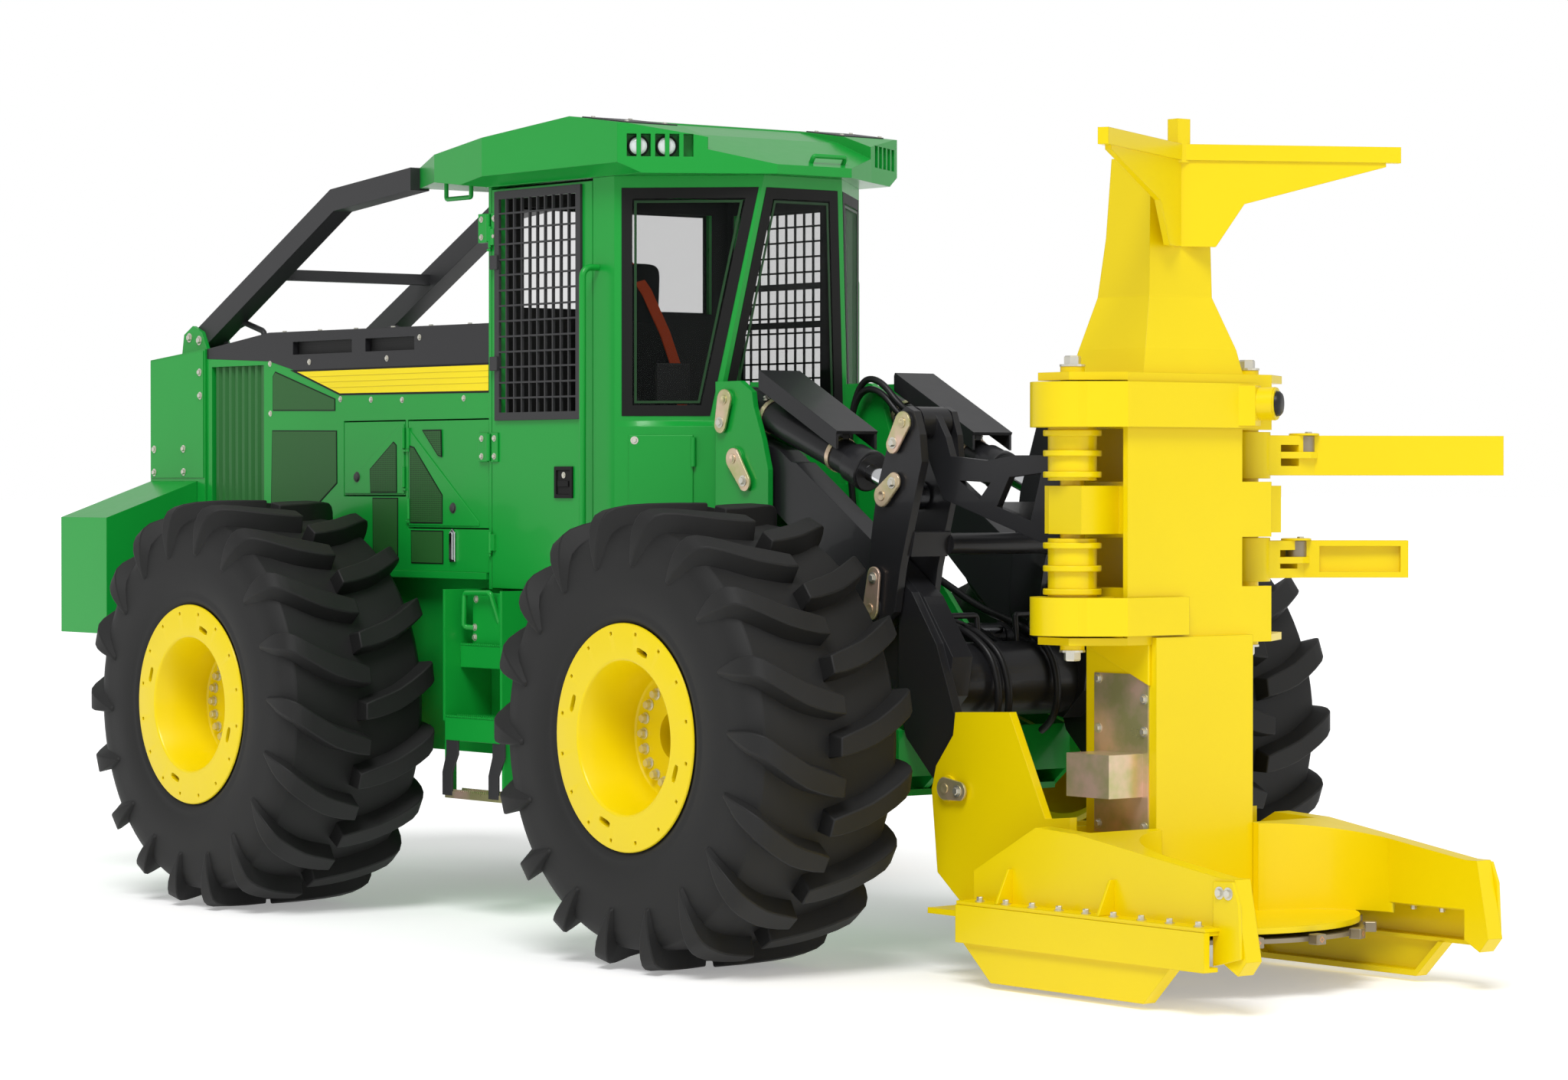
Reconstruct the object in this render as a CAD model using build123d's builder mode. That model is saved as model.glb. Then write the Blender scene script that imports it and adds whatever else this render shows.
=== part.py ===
# Wheeled feller buncher: articulated carrier with a disc saw felling head.
# X runs forward to the felling head, Y to the machine's left, Z up from the ground.
# Side views are drawn from the articulation pin, midway between the axles.
import os
from math import atan2, cos, hypot, radians, sin, sqrt

from build123d import *

os.makedirs("parts", exist_ok=True)

# Driving dimensions, in millimetres
pivot_x = -398.0          # articulation pin, from the middle of the overall length
wheelbase = 3180.0
half_track = 1104.0       # wheel centre plane from the centreline
tyre_radius = 890.0       # to the tips of the lugs
tyre_width = 764.0
lug_count = 18            # on each side of a tyre
rim_radius = 435.0
rim_width = 716.0
running_gap = 5.0         # between pieces that move past each other
soft_gap = 0.3            # between curved pieces that only seat on each other
pin_fit = 0.05            # radial clearance of a pin in its bore

axle_z = tyre_radius
front_axle_x = wheelbase / 2
rear_axle_x = -wheelbase / 2

# Pins of the boom linkage, as x and z from the articulation pin
cylinder_pin = (924.0, 2189.0)     # base of the tilt cylinders, top of the towers
boom_pin = (982.0, 1951.0)         # boom on the towers
rocker_pin = (1890.0, 1368.0)      # rocker on the boom
rod_pin = (1960.0, 1805.0)         # tilt cylinder rod on the rocker
link_pin = (2083.0, 2084.0)        # tilt link on the rocker
head_pin = (2335.0, 698.0)         # felling head on the boom
head_link_pin = (2880.0, 1750.0)   # tilt link on the felling head
lift_base_pin = (930.0, 1000.0)    # lift cylinder on the front frame
lift_rod_pin = (1800.0, 1240.0)    # lift cylinder on the boom
arm_axis = (2991.0, 447.0)         # pins of the gathering arms, as x and y
saw_centre_x = 3130.0
saw_radius = 700.0                 # to the tips of the teeth
tooth_count = 16


def side(y):
    """Upright plane at y, drawn in x from the articulation pin and z, facing the right side."""
    return Plane(origin=(pivot_x, y, 0), x_dir=(1, 0, 0), z_dir=(0, -1, 0))


def deck(z):
    """Level plane at height z, drawn in x from the articulation pin and y."""
    return Plane(origin=(pivot_x, 0, z), x_dir=(1, 0, 0), z_dir=(0, 0, 1))


def cross(x):
    """Upright plane across the machine, drawn in y and z, facing forward."""
    return Plane(origin=(pivot_x + x, 0, 0), x_dir=(0, 1, 0), z_dir=(1, 0, 0))


def plate(outline, y_right, y_left, holes=(), mode=Mode.ADD):
    """Plate upright along the machine; holes are x, z and radius."""
    with BuildSketch(side(y_left)) as shape:
        with BuildLine():
            Polyline(*outline, close=True)
        make_face()
        for x, z, radius in holes:
            with Locations((x, z)):
                Circle(radius, mode=Mode.SUBTRACT)
    extrude(shape.sketch, amount=y_left - y_right, mode=mode)


def both_plates(outline, inner, outer, holes=(), mode=Mode.ADD):
    """The same plate on both sides of the centreline."""
    plate(outline, inner, outer, holes, mode)
    plate(outline, -outer, -inner, holes, mode)


def slab(outline, bottom, top, mode=Mode.ADD):
    """Level plate; the outline is in x and y."""
    with BuildSketch(deck(bottom)) as shape:
        with BuildLine():
            Polyline(*outline, close=True)
        make_face()
    extrude(shape.sketch, amount=top - bottom, mode=mode)


def block(x_range, y_range, z_range, mode=Mode.ADD):
    """Box between pairs of x, y and z."""
    (x0, x1), (y0, y1), (z0, z1) = x_range, y_range, z_range
    slab([(x0, y0), (x1, y0), (x1, y1), (x0, y1)], z0, z1, mode)


def rod(centre, y_right, y_left, radius, mode=Mode.ADD):
    """Round bar or bore along Y at an x and z."""
    with BuildSketch(side(y_left)) as shape:
        with Locations(centre):
            Circle(radius)
    extrude(shape.sketch, amount=y_left - y_right, mode=mode)


def both_rods(centre, inner, outer, radius, mode=Mode.ADD):
    """The same round bar or bore on both sides of the centreline."""
    rod(centre, inner, outer, radius, mode)
    rod(centre, -outer, -inner, radius, mode)


def post(centre, bottom, top, radius, mode=Mode.ADD):
    """Upright round bar or bore at an x and y."""
    with BuildSketch(deck(bottom)) as shape:
        with Locations(centre):
            Circle(radius)
    extrude(shape.sketch, amount=top - bottom, mode=mode)


def bar(start, end, y, radius, mode=Mode.ADD):
    """Round bar in an upright plane at y, from one x and z to another."""
    origin = Vector(pivot_x + start[0], y, start[1])
    target = Vector(pivot_x + end[0], y, end[1])
    with BuildSketch(Plane(origin=origin, z_dir=target - origin)) as shape:
        Circle(radius)
    extrude(shape.sketch, amount=(target - origin).length, mode=mode)


def pipe(points, radius):
    """Bent tube through x, y, z points, with rounded corners, as a solid bar."""
    corners = [Vector(pivot_x + x, y, z) for x, y, z in points]
    with BuildLine() as route:
        if len(corners) > 2:
            FilletPolyline(*corners, radius=3 * radius)
        else:
            Line(*corners)
    start = route.wire() @ 0
    with BuildSketch(Plane(origin=start, z_dir=route.wire() % 0)) as shape:
        Circle(radius)
    sweep(shape.sketch, path=route.wire())


def along(start, end, distance):
    """Point at a distance from start towards end, in x and z."""
    length = hypot(end[0] - start[0], end[1] - start[1])
    share = distance / length
    return (start[0] + share * (end[0] - start[0]), start[1] + share * (end[1] - start[1]))


def door_knuckle(centre, z):
    """Door half of a hinge: a bored knuckle round an upright axis at x and y."""
    post(centre, z - knuckle_half, z + knuckle_half, knuckle_radius)
    post(centre, z - knuckle_half - 1, z + knuckle_half + 1, hinge_pin_radius + pin_fit, Mode.SUBTRACT)


def frame_knuckle(centre, z, toward, wall_y):
    """Fixed half of a hinge: pin and leaf, fixed to a wall face at wall_y beyond the axis."""
    x, y = centre
    foot = z - knuckle_half - 15
    post(centre, foot, z + knuckle_half, hinge_pin_radius)
    block(sorted((x, x + 18 * toward)), (y - 4, y + 4), (foot, foot + 10))
    block(sorted((x + 13 * toward, x + 18 * toward)), sorted((y, wall_y)), (foot, foot + 10))


def keep(piece, name):
    """Names a finished piece and writes it."""
    piece.part.label = name
    export_step(piece.part, f"parts/{name}.step")


# Rear frame: an open box of plates between the rear wheels, forked at the articulation pins
frame_half = 560.0
frame_plate = 30.0
frame_inner = frame_half - frame_plate
frame_bottom = 690.0
frame_top = 1470.0
cab_floor = 1400.0
cab_seat = 1390.0                  # top of the frame under the cab
frame_rear = -2780.0
frame_front = -330.0
hitch_pin_radius = 60.0
hitch_tongue = 70.0
hitch_fork = 40.0
hitch_levels = (790.0, 1230.0)     # middle height of the lower and upper tongue
tube_radius = 125.0                # axle tube
axle_bore = tube_radius + soft_gap

with BuildPart() as rear_chassis:
    both_plates([(frame_rear, 780), (frame_rear + 90, frame_bottom), (frame_front, frame_bottom),
                 (frame_front, cab_seat), (-500, cab_seat), (-500, frame_top), (frame_rear, frame_top)],
                frame_inner, frame_half, holes=[(rear_axle_x, axle_z, axle_bore)])
    block((frame_front - frame_plate, frame_front), (-frame_inner, frame_inner), (frame_bottom, cab_seat))
    block((frame_rear, frame_rear + frame_plate), (-frame_inner, frame_inner), (780, frame_top))
    block((rear_axle_x + 360, frame_front - frame_plate), (-frame_inner, frame_inner),
          (frame_bottom, frame_bottom + frame_plate))
    for sign in (-1, 1):
        # Ledge that carries the hood, and the beam and pads under the cab
        block((frame_rear, -500), sorted((sign * frame_half, sign * 645)), (frame_top - 30, frame_top))
        block((frame_front, 480), sorted((sign * 400, sign * 440)), (cab_seat - 50, cab_seat))
        for pad_x in (-345, 420):
            post((pad_x, sign * 420), cab_seat, cab_floor, 60)
    for level in hitch_levels:
        fork_foot = level - hitch_tongue / 2 - running_gap - hitch_fork
        fork_head = level + hitch_tongue / 2 + running_gap
        for low in (fork_foot, fork_head):
            slab([(frame_front, -260), (0, -125), (0, 125), (frame_front, 260)], low, low + hitch_fork)
            post((0, 0), low, low + hitch_fork, 125)
        post((0, 0), fork_foot - 20, fork_head + hitch_fork + 20, hitch_pin_radius)
keep(rear_chassis, "rear_chassis")

# Axles: banjo housing, tubes and spindles that carry the wheel hubs
hub_inner = half_track - 350.0
spindle_radius = 90.0
spindle_end = half_track - 120.0
banjo_radius = 200.0
for name, axle_x in (("rear_axle", rear_axle_x), ("front_axle", front_axle_x)):
    with BuildPart() as axle:
        half_outline = [(spindle_end, 0), (spindle_end, spindle_radius), (hub_inner - running_gap, spindle_radius),
                        (hub_inner - running_gap, 190), (650, 190), (620, tube_radius), (320, tube_radius),
                        (180, banjo_radius)]
        other_half = [(-y, radius) for y, radius in reversed(half_outline)]
        with BuildSketch(Plane(origin=(pivot_x + axle_x, 0, axle_z), x_dir=(0, 1, 0), z_dir=(1, 0, 0))):
            with BuildLine():
                Polyline(*half_outline, *other_half, close=True)
            make_face()
        revolve(axis=Axis((pivot_x + axle_x, 0, axle_z), (0, 1, 0)))
    keep(axle, name)

# Rear bumper: wide box behind the wheels whose wings slope up to the radiator housing
bumper_rear = -3306.0
bumper_front = bumper_rear + 426
bumper_half = 1134.0
bumper_tip = 1693.0
bumper_root = 1862.0
with BuildPart() as rear_bumper:
    with BuildSketch(cross(bumper_rear)) as wing:
        with BuildLine():
            Polyline((-bumper_half, bumper_tip), (-650, bumper_root), (650, bumper_root),
                     (bumper_half, bumper_tip), (bumper_half, 1155), (560, 900), (-560, 900),
                     (-bumper_half, 1155), close=True)
        make_face()
    extrude(wing.sketch, amount=bumper_front - bumper_rear)
    block((bumper_front, frame_rear), (-frame_inner, frame_inner), (900, 1440))
    both_plates([(bumper_front - 60, 800), (bumper_front, 1080), (bumper_front, 1155), (bumper_rear, 1155),
                 (bumper_rear - 100, 800)], 560, 1200, mode=Mode.SUBTRACT)
keep(rear_bumper, "rear_bumper")

# Radiator housing behind the hood, with a louvred rear and brackets for the guard bars
housing_half = 650.0
housing_front = bumper_rear + 500
guard_y = 464.0
guard_half = 50.0
with BuildPart() as rear_housing:
    plate([(bumper_rear, bumper_root), (bumper_rear, 2439), (housing_front, 2481),
           (housing_front, bumper_root)], -housing_half, housing_half)
    block((housing_front - 70, housing_front), (-housing_half, housing_half), (frame_top, bumper_root))
    bracket = [(bumper_rear + run, z) for run, z in ((90, 2430), (116, 2560), (196, 2600), (276, 2570), (346, 2450))]
    for inner in (guard_y - guard_half - 20, guard_y + guard_half):
        both_plates(bracket, inner, inner + 20)
    for slat in range(8):
        low = 1950 + 53 * slat
        block((bumper_rear - 1, bumper_rear + 30), (-520, 520), (low, low + 27), Mode.SUBTRACT)
keep(rear_housing, "rear_housing")

# Engine hood: panels, posts and stripe band along both sides, open between them
hood_rear = housing_front + 2
hood_front = -480.0
hood_break = -2255.0               # where the top starts to fall to the rear
hood_half = 640.0
skin = 30.0
knuckle_radius = 8.0
knuckle_half = 45.0
hinge_pin_radius = 4.0
door_top = 2130.0
stripe_top = 2362.0
grille_top = 2395.0
seam_x = -1116.0                   # post between the engine doors
post_half = 8.0
door_gap = 6.0
# Name, rear edge, front edge, lower edge and hinge edge of the doors on each side
engine_doors = (("middle", -1618.0, seam_x - post_half - door_gap, 1800.0, "front"),
                ("front", seam_x + post_half + door_gap, hood_front - door_gap, 1660.0, "rear"))
with BuildPart() as hood:
    both_plates([(hood_rear, frame_top), (hood_front, frame_top), (hood_front, stripe_top),
                 (-2020, stripe_top), (hood_break, 2411), (hood_rear, 2434)], hood_half - skin, hood_half)
    both_plates([(hood_rear + 45, frame_top + 20), (-2300, frame_top + 20), (-2300, grille_top),
                 (hood_rear + 45, grille_top)], hood_half - 100, hood_half + 1, mode=Mode.SUBTRACT)
    for name, rear_edge, front_edge, low_edge, hinge_edge in engine_doors:
        both_plates([(rear_edge - door_gap, low_edge - door_gap), (front_edge + door_gap, low_edge - door_gap),
                     (front_edge + door_gap, door_top), (rear_edge - door_gap, door_top)],
                    hood_half - 100, hood_half + 1, mode=Mode.SUBTRACT)
    block((hood_front - skin, hood_front), (-hood_half + skin, hood_half - skin), (frame_top, stripe_top))
    for sign in (-1, 1):
        for name, rear_edge, front_edge, low_edge, hinge_edge in engine_doors:
            x, toward = (front_edge - door_gap, 1) if hinge_edge == "front" else (rear_edge + door_gap, -1)
            for z in (low_edge + 80, door_top - 80):
                frame_knuckle((x, sign * (hood_half + 5)), z, toward, sign * (hood_half - 1))
keep(hood, "hood")

with BuildPart() as hood_top:
    plate([(hood_rear, 2434.5), (hood_rear, 2481), (hood_break, 2543), (hood_front, 2536),
           (hood_front, stripe_top + 0.5), (-2020, stripe_top + 0.5), (hood_break, 2411.5)],
          -hood_half, hood_half)
    plate([(hood_rear + skin, 2300), (hood_rear + skin, 2455), (hood_break, 2513),
           (hood_front - skin, 2506), (hood_front - skin, 2300)],
          -hood_half + skin, hood_half - skin, mode=Mode.SUBTRACT)
    for slot_rear, slot_front in ((-2050, -1558), (-1448, -1057)):
        both_plates([(slot_rear, 2495), (slot_front, 2495), (slot_front, 2437), (slot_rear, 2437)],
                    hood_half - skin - 20, hood_half + 20, mode=Mode.SUBTRACT)
keep(hood_top, "hood_top")

# Side grilles: corrugated screens ahead of the radiator housing
with BuildPart() as side_grilles:
    grille_rear = hood_rear + 45.5
    grille_front = -2300.5
    rib_count = 8
    pitch = (grille_front - grille_rear) / rib_count
    for sign in (-1, 1):
        screen = []
        for rib in range(rib_count):
            x = grille_rear + rib * pitch
            screen += [(x, sign * (hood_half - 34)), (x + 0.30 * pitch, sign * (hood_half - 12)),
                       (x + 0.70 * pitch, sign * (hood_half - 12))]
        screen += [(grille_front, sign * (hood_half - 34)), (grille_front, sign * (hood_half - 50)),
                   (grille_rear, sign * (hood_half - 50))]
        slab(screen, frame_top + 20.5, grille_top - 0.5)
keep(side_grilles, "side_grilles")

# Engine as one block on its mounts across the rear frame
with BuildPart() as engine_block:
    block((-2500, -1250), (-330, 330), (1180, 2180))
    block((-2100, -1500), (-frame_inner, frame_inner), (1150, 1250))
keep(engine_block, "engine_block")

# Engine doors, hinged beside the middle post
for side_name, sign in (("right", -1), ("left", 1)):
    for door_name, rear_edge, front_edge, low_edge, hinge_edge in engine_doors:
        with BuildPart() as engine_door:
            block((rear_edge, front_edge), sorted((sign * (hood_half - skin), sign * hood_half)),
                  (low_edge, door_top - door_gap))
            knuckle_x = front_edge - door_gap if hinge_edge == "front" else rear_edge + door_gap
            for z in (low_edge + 80, door_top - 80):
                door_knuckle((knuckle_x, sign * (hood_half + 5)), z)
        keep(engine_door, f"engine_door_{door_name}_{side_name}")

# Cab shell: panelled lower body, posts and the frames of the glass
cab_half = 650.0
cab_rear = -471.0
cab_corner = 433.0
glass_foot = (720.0, 349.0)
glass_head = (860.0, 205.0)
sill = 2108.0
lintel = 3112.0
cab_wall = 45.0
glass_margin = 30.0
post_margin = 22.0                 # between a pane and the posts of the windscreen
ledge = 40.0                       # how far the lower front stands out below the windscreen
ledge_top = 2085.0
door_rear = -446.0
door_front = 279.0
door_low = 1406.0
door_high = 3100.0
door_hinges = (1600.0, 2900.0)
hinge_x = door_rear - 3.0
hinge_y = -cab_half - 9.0


def cab_plan(inset, foot):
    """Cab outline in x and y, moved in by an inset; foot is the corner of the windscreen."""
    slant = 0.42 * inset
    return [(cab_rear + inset, -cab_half + inset), (cab_corner - slant, -cab_half + inset),
            (foot[0] - inset, -foot[1] + slant), (foot[0] - inset, foot[1] - slant),
            (cab_corner - slant, cab_half - inset), (cab_rear + inset, cab_half - inset)]


def cab_body(inset, bottom, middle, top, mode=Mode.ADD):
    """Cab volume: straight below the sill, leaning out to the lintel above it."""
    slab(cab_plan(inset, glass_foot), bottom, middle, mode)
    with BuildSketch(deck(middle)) as low:
        with BuildLine():
            Polyline(*cab_plan(inset, glass_foot), close=True)
        make_face()
    with BuildSketch(deck(top)) as high:
        with BuildLine():
            Polyline(*cab_plan(inset, glass_head), close=True)
        make_face()
    loft([low.sketch.face(), high.sketch.face()], ruled=True, mode=mode)


def cab_panes(margin, depth, mode=Mode.ADD):
    """The windscreen and the two angled panes beside it, as slabs or as cut-outs."""
    foot_run = hypot(glass_foot[0] - cab_corner, cab_half - glass_foot[1])
    head_run = hypot(glass_head[0] - cab_corner, cab_half - glass_head[1])
    low, high = sill + 20, lintel - 50
    for sign in (-1, 1):
        x_dir = Vector(glass_head[0] - cab_corner, -sign * (cab_half - glass_head[1]), 0)
        z_dir = Vector(cab_half - glass_head[1], sign * (glass_head[0] - cab_corner), 0)
        pane_plane = Plane(origin=(pivot_x + cab_corner, sign * cab_half, 0), x_dir=x_dir, z_dir=z_dir)
        up = pane_plane.y_dir.Z
        with BuildSketch(pane_plane) as pane:
            with BuildLine():
                Polyline((margin, up * low), (foot_run - post_margin, up * low),
                         (head_run - post_margin, up * high), (margin, up * high), close=True)
            make_face()
        extrude(pane.sketch, amount=-depth, mode=mode)
    lean = Vector(glass_head[0] - glass_foot[0], 0, lintel - sill)
    screen_plane = Plane(origin=(pivot_x + glass_foot[0], 0, sill), x_dir=(0, 1, 0),
                         z_dir=(lean.Z, 0, -lean.X))
    with BuildSketch(screen_plane) as screen:
        with BuildLine():
            Polyline((25 - glass_foot[1], 20), (glass_foot[1] - 25, 20),
                     (glass_head[1] - 18, lean.length - 50), (18 - glass_head[1], lean.length - 50),
                     close=True)
        make_face()
    extrude(screen.sketch, amount=-depth, mode=mode)


with BuildPart() as cab_shell:
    cab_body(0, cab_floor, sill, lintel)
    cab_body(cab_wall, cab_floor + cab_wall, sill, lintel + 0.01, Mode.SUBTRACT)
    block((door_rear - running_gap, door_front + running_gap), (-cab_half - 10, -cab_half + cab_wall + 5),
          (cab_floor - 10, lintel + 10), Mode.SUBTRACT)
    block((door_rear + 60, door_front - 40), (cab_half - cab_wall - 5, cab_half + 10),
          (sill, lintel - 70), Mode.SUBTRACT)
    block((cab_rear - 10, cab_rear + cab_wall + 5), (-520, 520), (2590, lintel - 70), Mode.SUBTRACT)
    cab_panes(glass_margin, 120, Mode.SUBTRACT)
    # Deeper lower front with a sloping ledge below the windscreen
    nose_x, nose_y = glass_foot
    front_line = [(cab_corner, -cab_half), (nose_x + ledge, -nose_y - 0.4 * ledge),
                  (nose_x + ledge, nose_y + 0.4 * ledge), (cab_corner, cab_half)]
    slab([*front_line, (nose_x - 1, nose_y), (nose_x - 1, -nose_y)], cab_floor + 60, ledge_top)
    with BuildSketch(deck(ledge_top)) as ledge_foot:
        with BuildLine():
            Polyline(*front_line, close=True)
        make_face()
    with BuildSketch(deck(sill)) as ledge_head:
        with BuildLine():
            Polyline((cab_corner, -cab_half), (nose_x, -nose_y), (nose_x, nose_y), (cab_corner, cab_half),
                     close=True)
        make_face()
    loft([ledge_foot.sketch.face(), ledge_head.sketch.face()], ruled=True)
    cab_body(cab_wall, cab_floor + cab_wall, sill, lintel + 0.01, Mode.SUBTRACT)
    for z in door_hinges:
        frame_knuckle((hinge_x, hinge_y), z, -1, -cab_half + 1)
keep(cab_shell, "cab_shell")

with BuildPart() as cab_glass:
    cab_panes(glass_margin + 0.2, 8)
    block((door_rear + 60.2, door_front - 40.2), (cab_half - 20, cab_half - 14), (sill + 0.2, lintel - 70.2))
    block((cab_rear + 14, cab_rear + 20), (-519.8, 519.8), (2590.2, lintel - 70.2))
keep(cab_glass, "cab_glass")

# Roof: tapered at the rear, light pods at the front corners, raked up to its highest point
with BuildPart() as cab_roof:
    slab([(-1275, -464), (-900, -640), (-400, -735), (577, -742), (770, -440), (936, -196),
          (936, 196), (770, 440), (577, 742), (-400, 735), (-900, 640), (-1275, 464)],
         lintel + soft_gap, 3400)
    plate([(-1400, 3236), (-1275, 3250), (240, 3364), (600, 3315), (780, 3260), (1100, 3225),
           (1100, 3500), (-1400, 3500)], -800, 800, mode=Mode.SUBTRACT)
    with BuildSketch(cross(-1300)) as skirt:
        for sign in (-1, 1):
            with BuildLine():
                Polyline((sign * 660, 3100), (sign * 660, 3114), (sign * 742, 3156), (sign * 800, 3156),
                         (sign * 800, 3100), close=True)
            make_face()
    extrude(skirt.sketch, amount=2300, mode=Mode.SUBTRACT)
    plate([(-1400, 3100), (-1400, 3158), (-900, 3158), (-480, 3114), (-480, 3100)], -800, 800,
          mode=Mode.SUBTRACT)
    # Visor between the pods, which slopes down to the front edge
    visor_half = 430.0
    plate([(300, 3352), (560, 3290), (940, 3150), (1100, 3150), (1100, 3500), (300, 3500)],
          -visor_half, visor_half, mode=Mode.SUBTRACT)
    for sign in (-1, 1):
        # Slots across the angled face of each pod
        pod_plane = Plane(origin=(pivot_x + 577, sign * 742, 3226), x_dir=(193, -sign * 302, 0),
                          z_dir=(302, sign * 193, 0))
        with BuildSketch(pod_plane) as pod_slots:
            with Locations((175, 0)):
                with GridLocations(58, 1, 5, 1):
                    Rectangle(40, 92)
        extrude(pod_slots.sketch, amount=-60, mode=Mode.SUBTRACT)
keep(cab_roof, "cab_roof")

# Cab door with its window cut out, hinged at its rear edge
with BuildPart() as cab_door:
    plate([(door_rear, door_low), (door_front, door_low), (door_front, door_high), (door_rear, door_high)],
          -cab_half, -cab_half + cab_wall)
    plate([(-390, 2140), (190, 2140), (190, 3060), (-390, 3060)], -cab_half - 1, -cab_half + cab_wall + 1,
          mode=Mode.SUBTRACT)
    for z in door_hinges:
        block((hinge_x, hinge_x + 32), (hinge_y - 4, -cab_half + 1), (z - 35, z + 35))
        door_knuckle((hinge_x, hinge_y), z)
keep(cab_door, "cab_door")

# Mesh guard over the door window
with BuildPart() as door_guard:
    guard_rear, guard_front, guard_low, guard_high = -413.0, 210.0, 2118.0, 3090.0
    plate([(guard_rear, guard_low), (guard_front, guard_low), (guard_front, guard_high),
           (guard_rear, guard_high)], -cab_half - 12, -cab_half)
    columns, rows, frame_edge = 10, 14, 30.0
    cell_x = (guard_front - guard_rear - 2 * frame_edge) / columns
    cell_z = (guard_high - guard_low - 2 * frame_edge) / rows
    with BuildSketch(side(-cab_half)) as mesh:
        with Locations(((guard_rear + guard_front) / 2, (guard_low + guard_high) / 2)):
            with GridLocations(cell_x, cell_z, columns, rows):
                Rectangle(cell_x - 8, cell_z - 8)
    extrude(mesh.sketch, amount=20, mode=Mode.SUBTRACT)
keep(door_guard, "door_guard")

# Seat on its pedestal, and the back and armrests that stand on it
seat_half = 230.0
seat_top = 1900.0
with BuildPart() as seat:
    block((-330, 110), (-seat_half, seat_half), (seat_top - 120, seat_top))
    block((-250, 50), (-150, 150), (cab_floor + cab_wall, seat_top - 120))
keep(seat, "seat")

with BuildPart() as seat_back:
    plate([(-370, seat_top), (-284, seat_top), (-330, 2560), (-410, 2560)], -220, 220)
    for sign in (-1, 1):
        block((-300, 80), sorted((sign * 250, sign * 330)), (2010, 2060))
        block((-300, -200), sorted((sign * seat_half, sign * 300)), (seat_top - 50, 2010))
keep(seat_back, "seat_back")

# Guard bars from the radiator housing over the hood to the roof
with BuildPart() as brush_guards:
    half = guard_half
    both_plates([(-3150, 2478), (-3080, 2476), (-1905, 3088), (-1275, 3150), (-1275, 3250), (-1932, 3188),
                 (-3180, 2548)], guard_y - half, guard_y + half)
    block((-2560, -2500), (-guard_y + half, guard_y - half), (2800, 2850))
keep(brush_guards, "brush_guards")

# Steps up to the cab door
with BuildPart() as steps:
    for rail_x in (-600, -175):
        block((rail_x, rail_x + 15), (-800, -frame_half - 1), (840, 1400))
        block((rail_x, rail_x + 15), (-790, -740), (520, 840))
    block((-585, -175), (-720, -frame_half - 1), (1137, 1162))
    block((-520, -185), (-700, -frame_half - 1), (1161, 1385))
    block((-585, -175), (-800, -frame_half - 1), (840, 858))
    block((-585, -175), (-790, -700), (517, 535))
keep(steps, "steps")

# Handrail beside the door
rail_y = cab_half + 80
with BuildPart() as handrails:
    pipe([(320, -cab_half, 1560), (320, -rail_y, 1560), (320, -rail_y, 2740), (320, -cab_half, 2740)], 14)
keep(handrails, "handrails")

# Front frame: twin-plate towers over the front axle, with tongues back to the articulation pin
tower_inner = (235.0, 265.0)
tower_outer = (420.0, 445.0)
tower_rear = 845.0
front_bottom = 640.0
nose = 2000.0
nose_top = 900.0
eye_y = 345.0                      # centre plane of the tilt cylinders
eye_half = 45.0
base_pin_radius = 40.0
boom_pin_radius = 50.0
lift_pin_radius = 35.0
lift_y = (110.0, 230.0)            # sides of the lift cylinder eyes
with BuildPart() as front_chassis:
    both_plates([(tower_rear, front_bottom), (tower_rear, 2264), (1007, 2265), (1084, 2220), (1096, 2158),
                 (1153, 2024), (1189, 1907), (1189, 1500), (1420, 1250), (1560, 1110), (nose - 200, 960),
                 (nose, nose_top), (nose, 720), (nose - 100, front_bottom)],
                *tower_outer, holes=[(front_axle_x, axle_z, axle_bore)])
    both_plates([(tower_rear, front_bottom), (tower_rear, 2264), (1007, 2265), (1084, 2220), (1096, 2158),
                 (1250, 1766), (1490, 1240), (1640, 1110), (nose - 200, 960), (nose, nose_top),
                 (nose, 720), (nose - 100, front_bottom)],
                *tower_inner, holes=[(front_axle_x, axle_z, 175)])
    block((tower_rear, tower_rear + 18), (-445, 445), (front_bottom, 1850))
    for sign in (-1, 1):
        block((tower_rear, tower_rear + 18), sorted((sign * 235, sign * 445)), (1850, 2080))
    block((tower_rear, nose - 60), (-420, 420), (front_bottom, front_bottom + 25))
    block((nose - 18, nose), (-445, 445), (720, nose_top))
    for level in hitch_levels:
        slab([(0, -110), (tower_rear, -400), (tower_rear, 400), (0, 110)],
             level - hitch_tongue / 2, level + hitch_tongue / 2)
        post((0, 0), level - hitch_tongue / 2, level + hitch_tongue / 2, 115)
    for sign in (-1, 1):
        slab([(200, sign * 150), (tower_rear, sign * 380), (tower_rear, sign * 350), (200, sign * 120)],
             hitch_levels[0], hitch_levels[1])
    post((0, 0), 0, 2000, hitch_pin_radius + pin_fit, Mode.SUBTRACT)
    both_plates([(tower_rear, front_bottom), (tower_rear, 1060), (970, 1060), (1010, 960), (1010, front_bottom)],
                lift_y[0] - 30, lift_y[0] - running_gap)
    both_rods(lift_base_pin, lift_y[0] - 30, tower_inner[1], lift_pin_radius)
    both_rods(cylinder_pin, tower_inner[0], tower_outer[1] + 10, base_pin_radius)
    both_rods(boom_pin, tower_inner[0], tower_outer[1] + 10, boom_pin_radius)
keep(front_chassis, "front_chassis")

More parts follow.
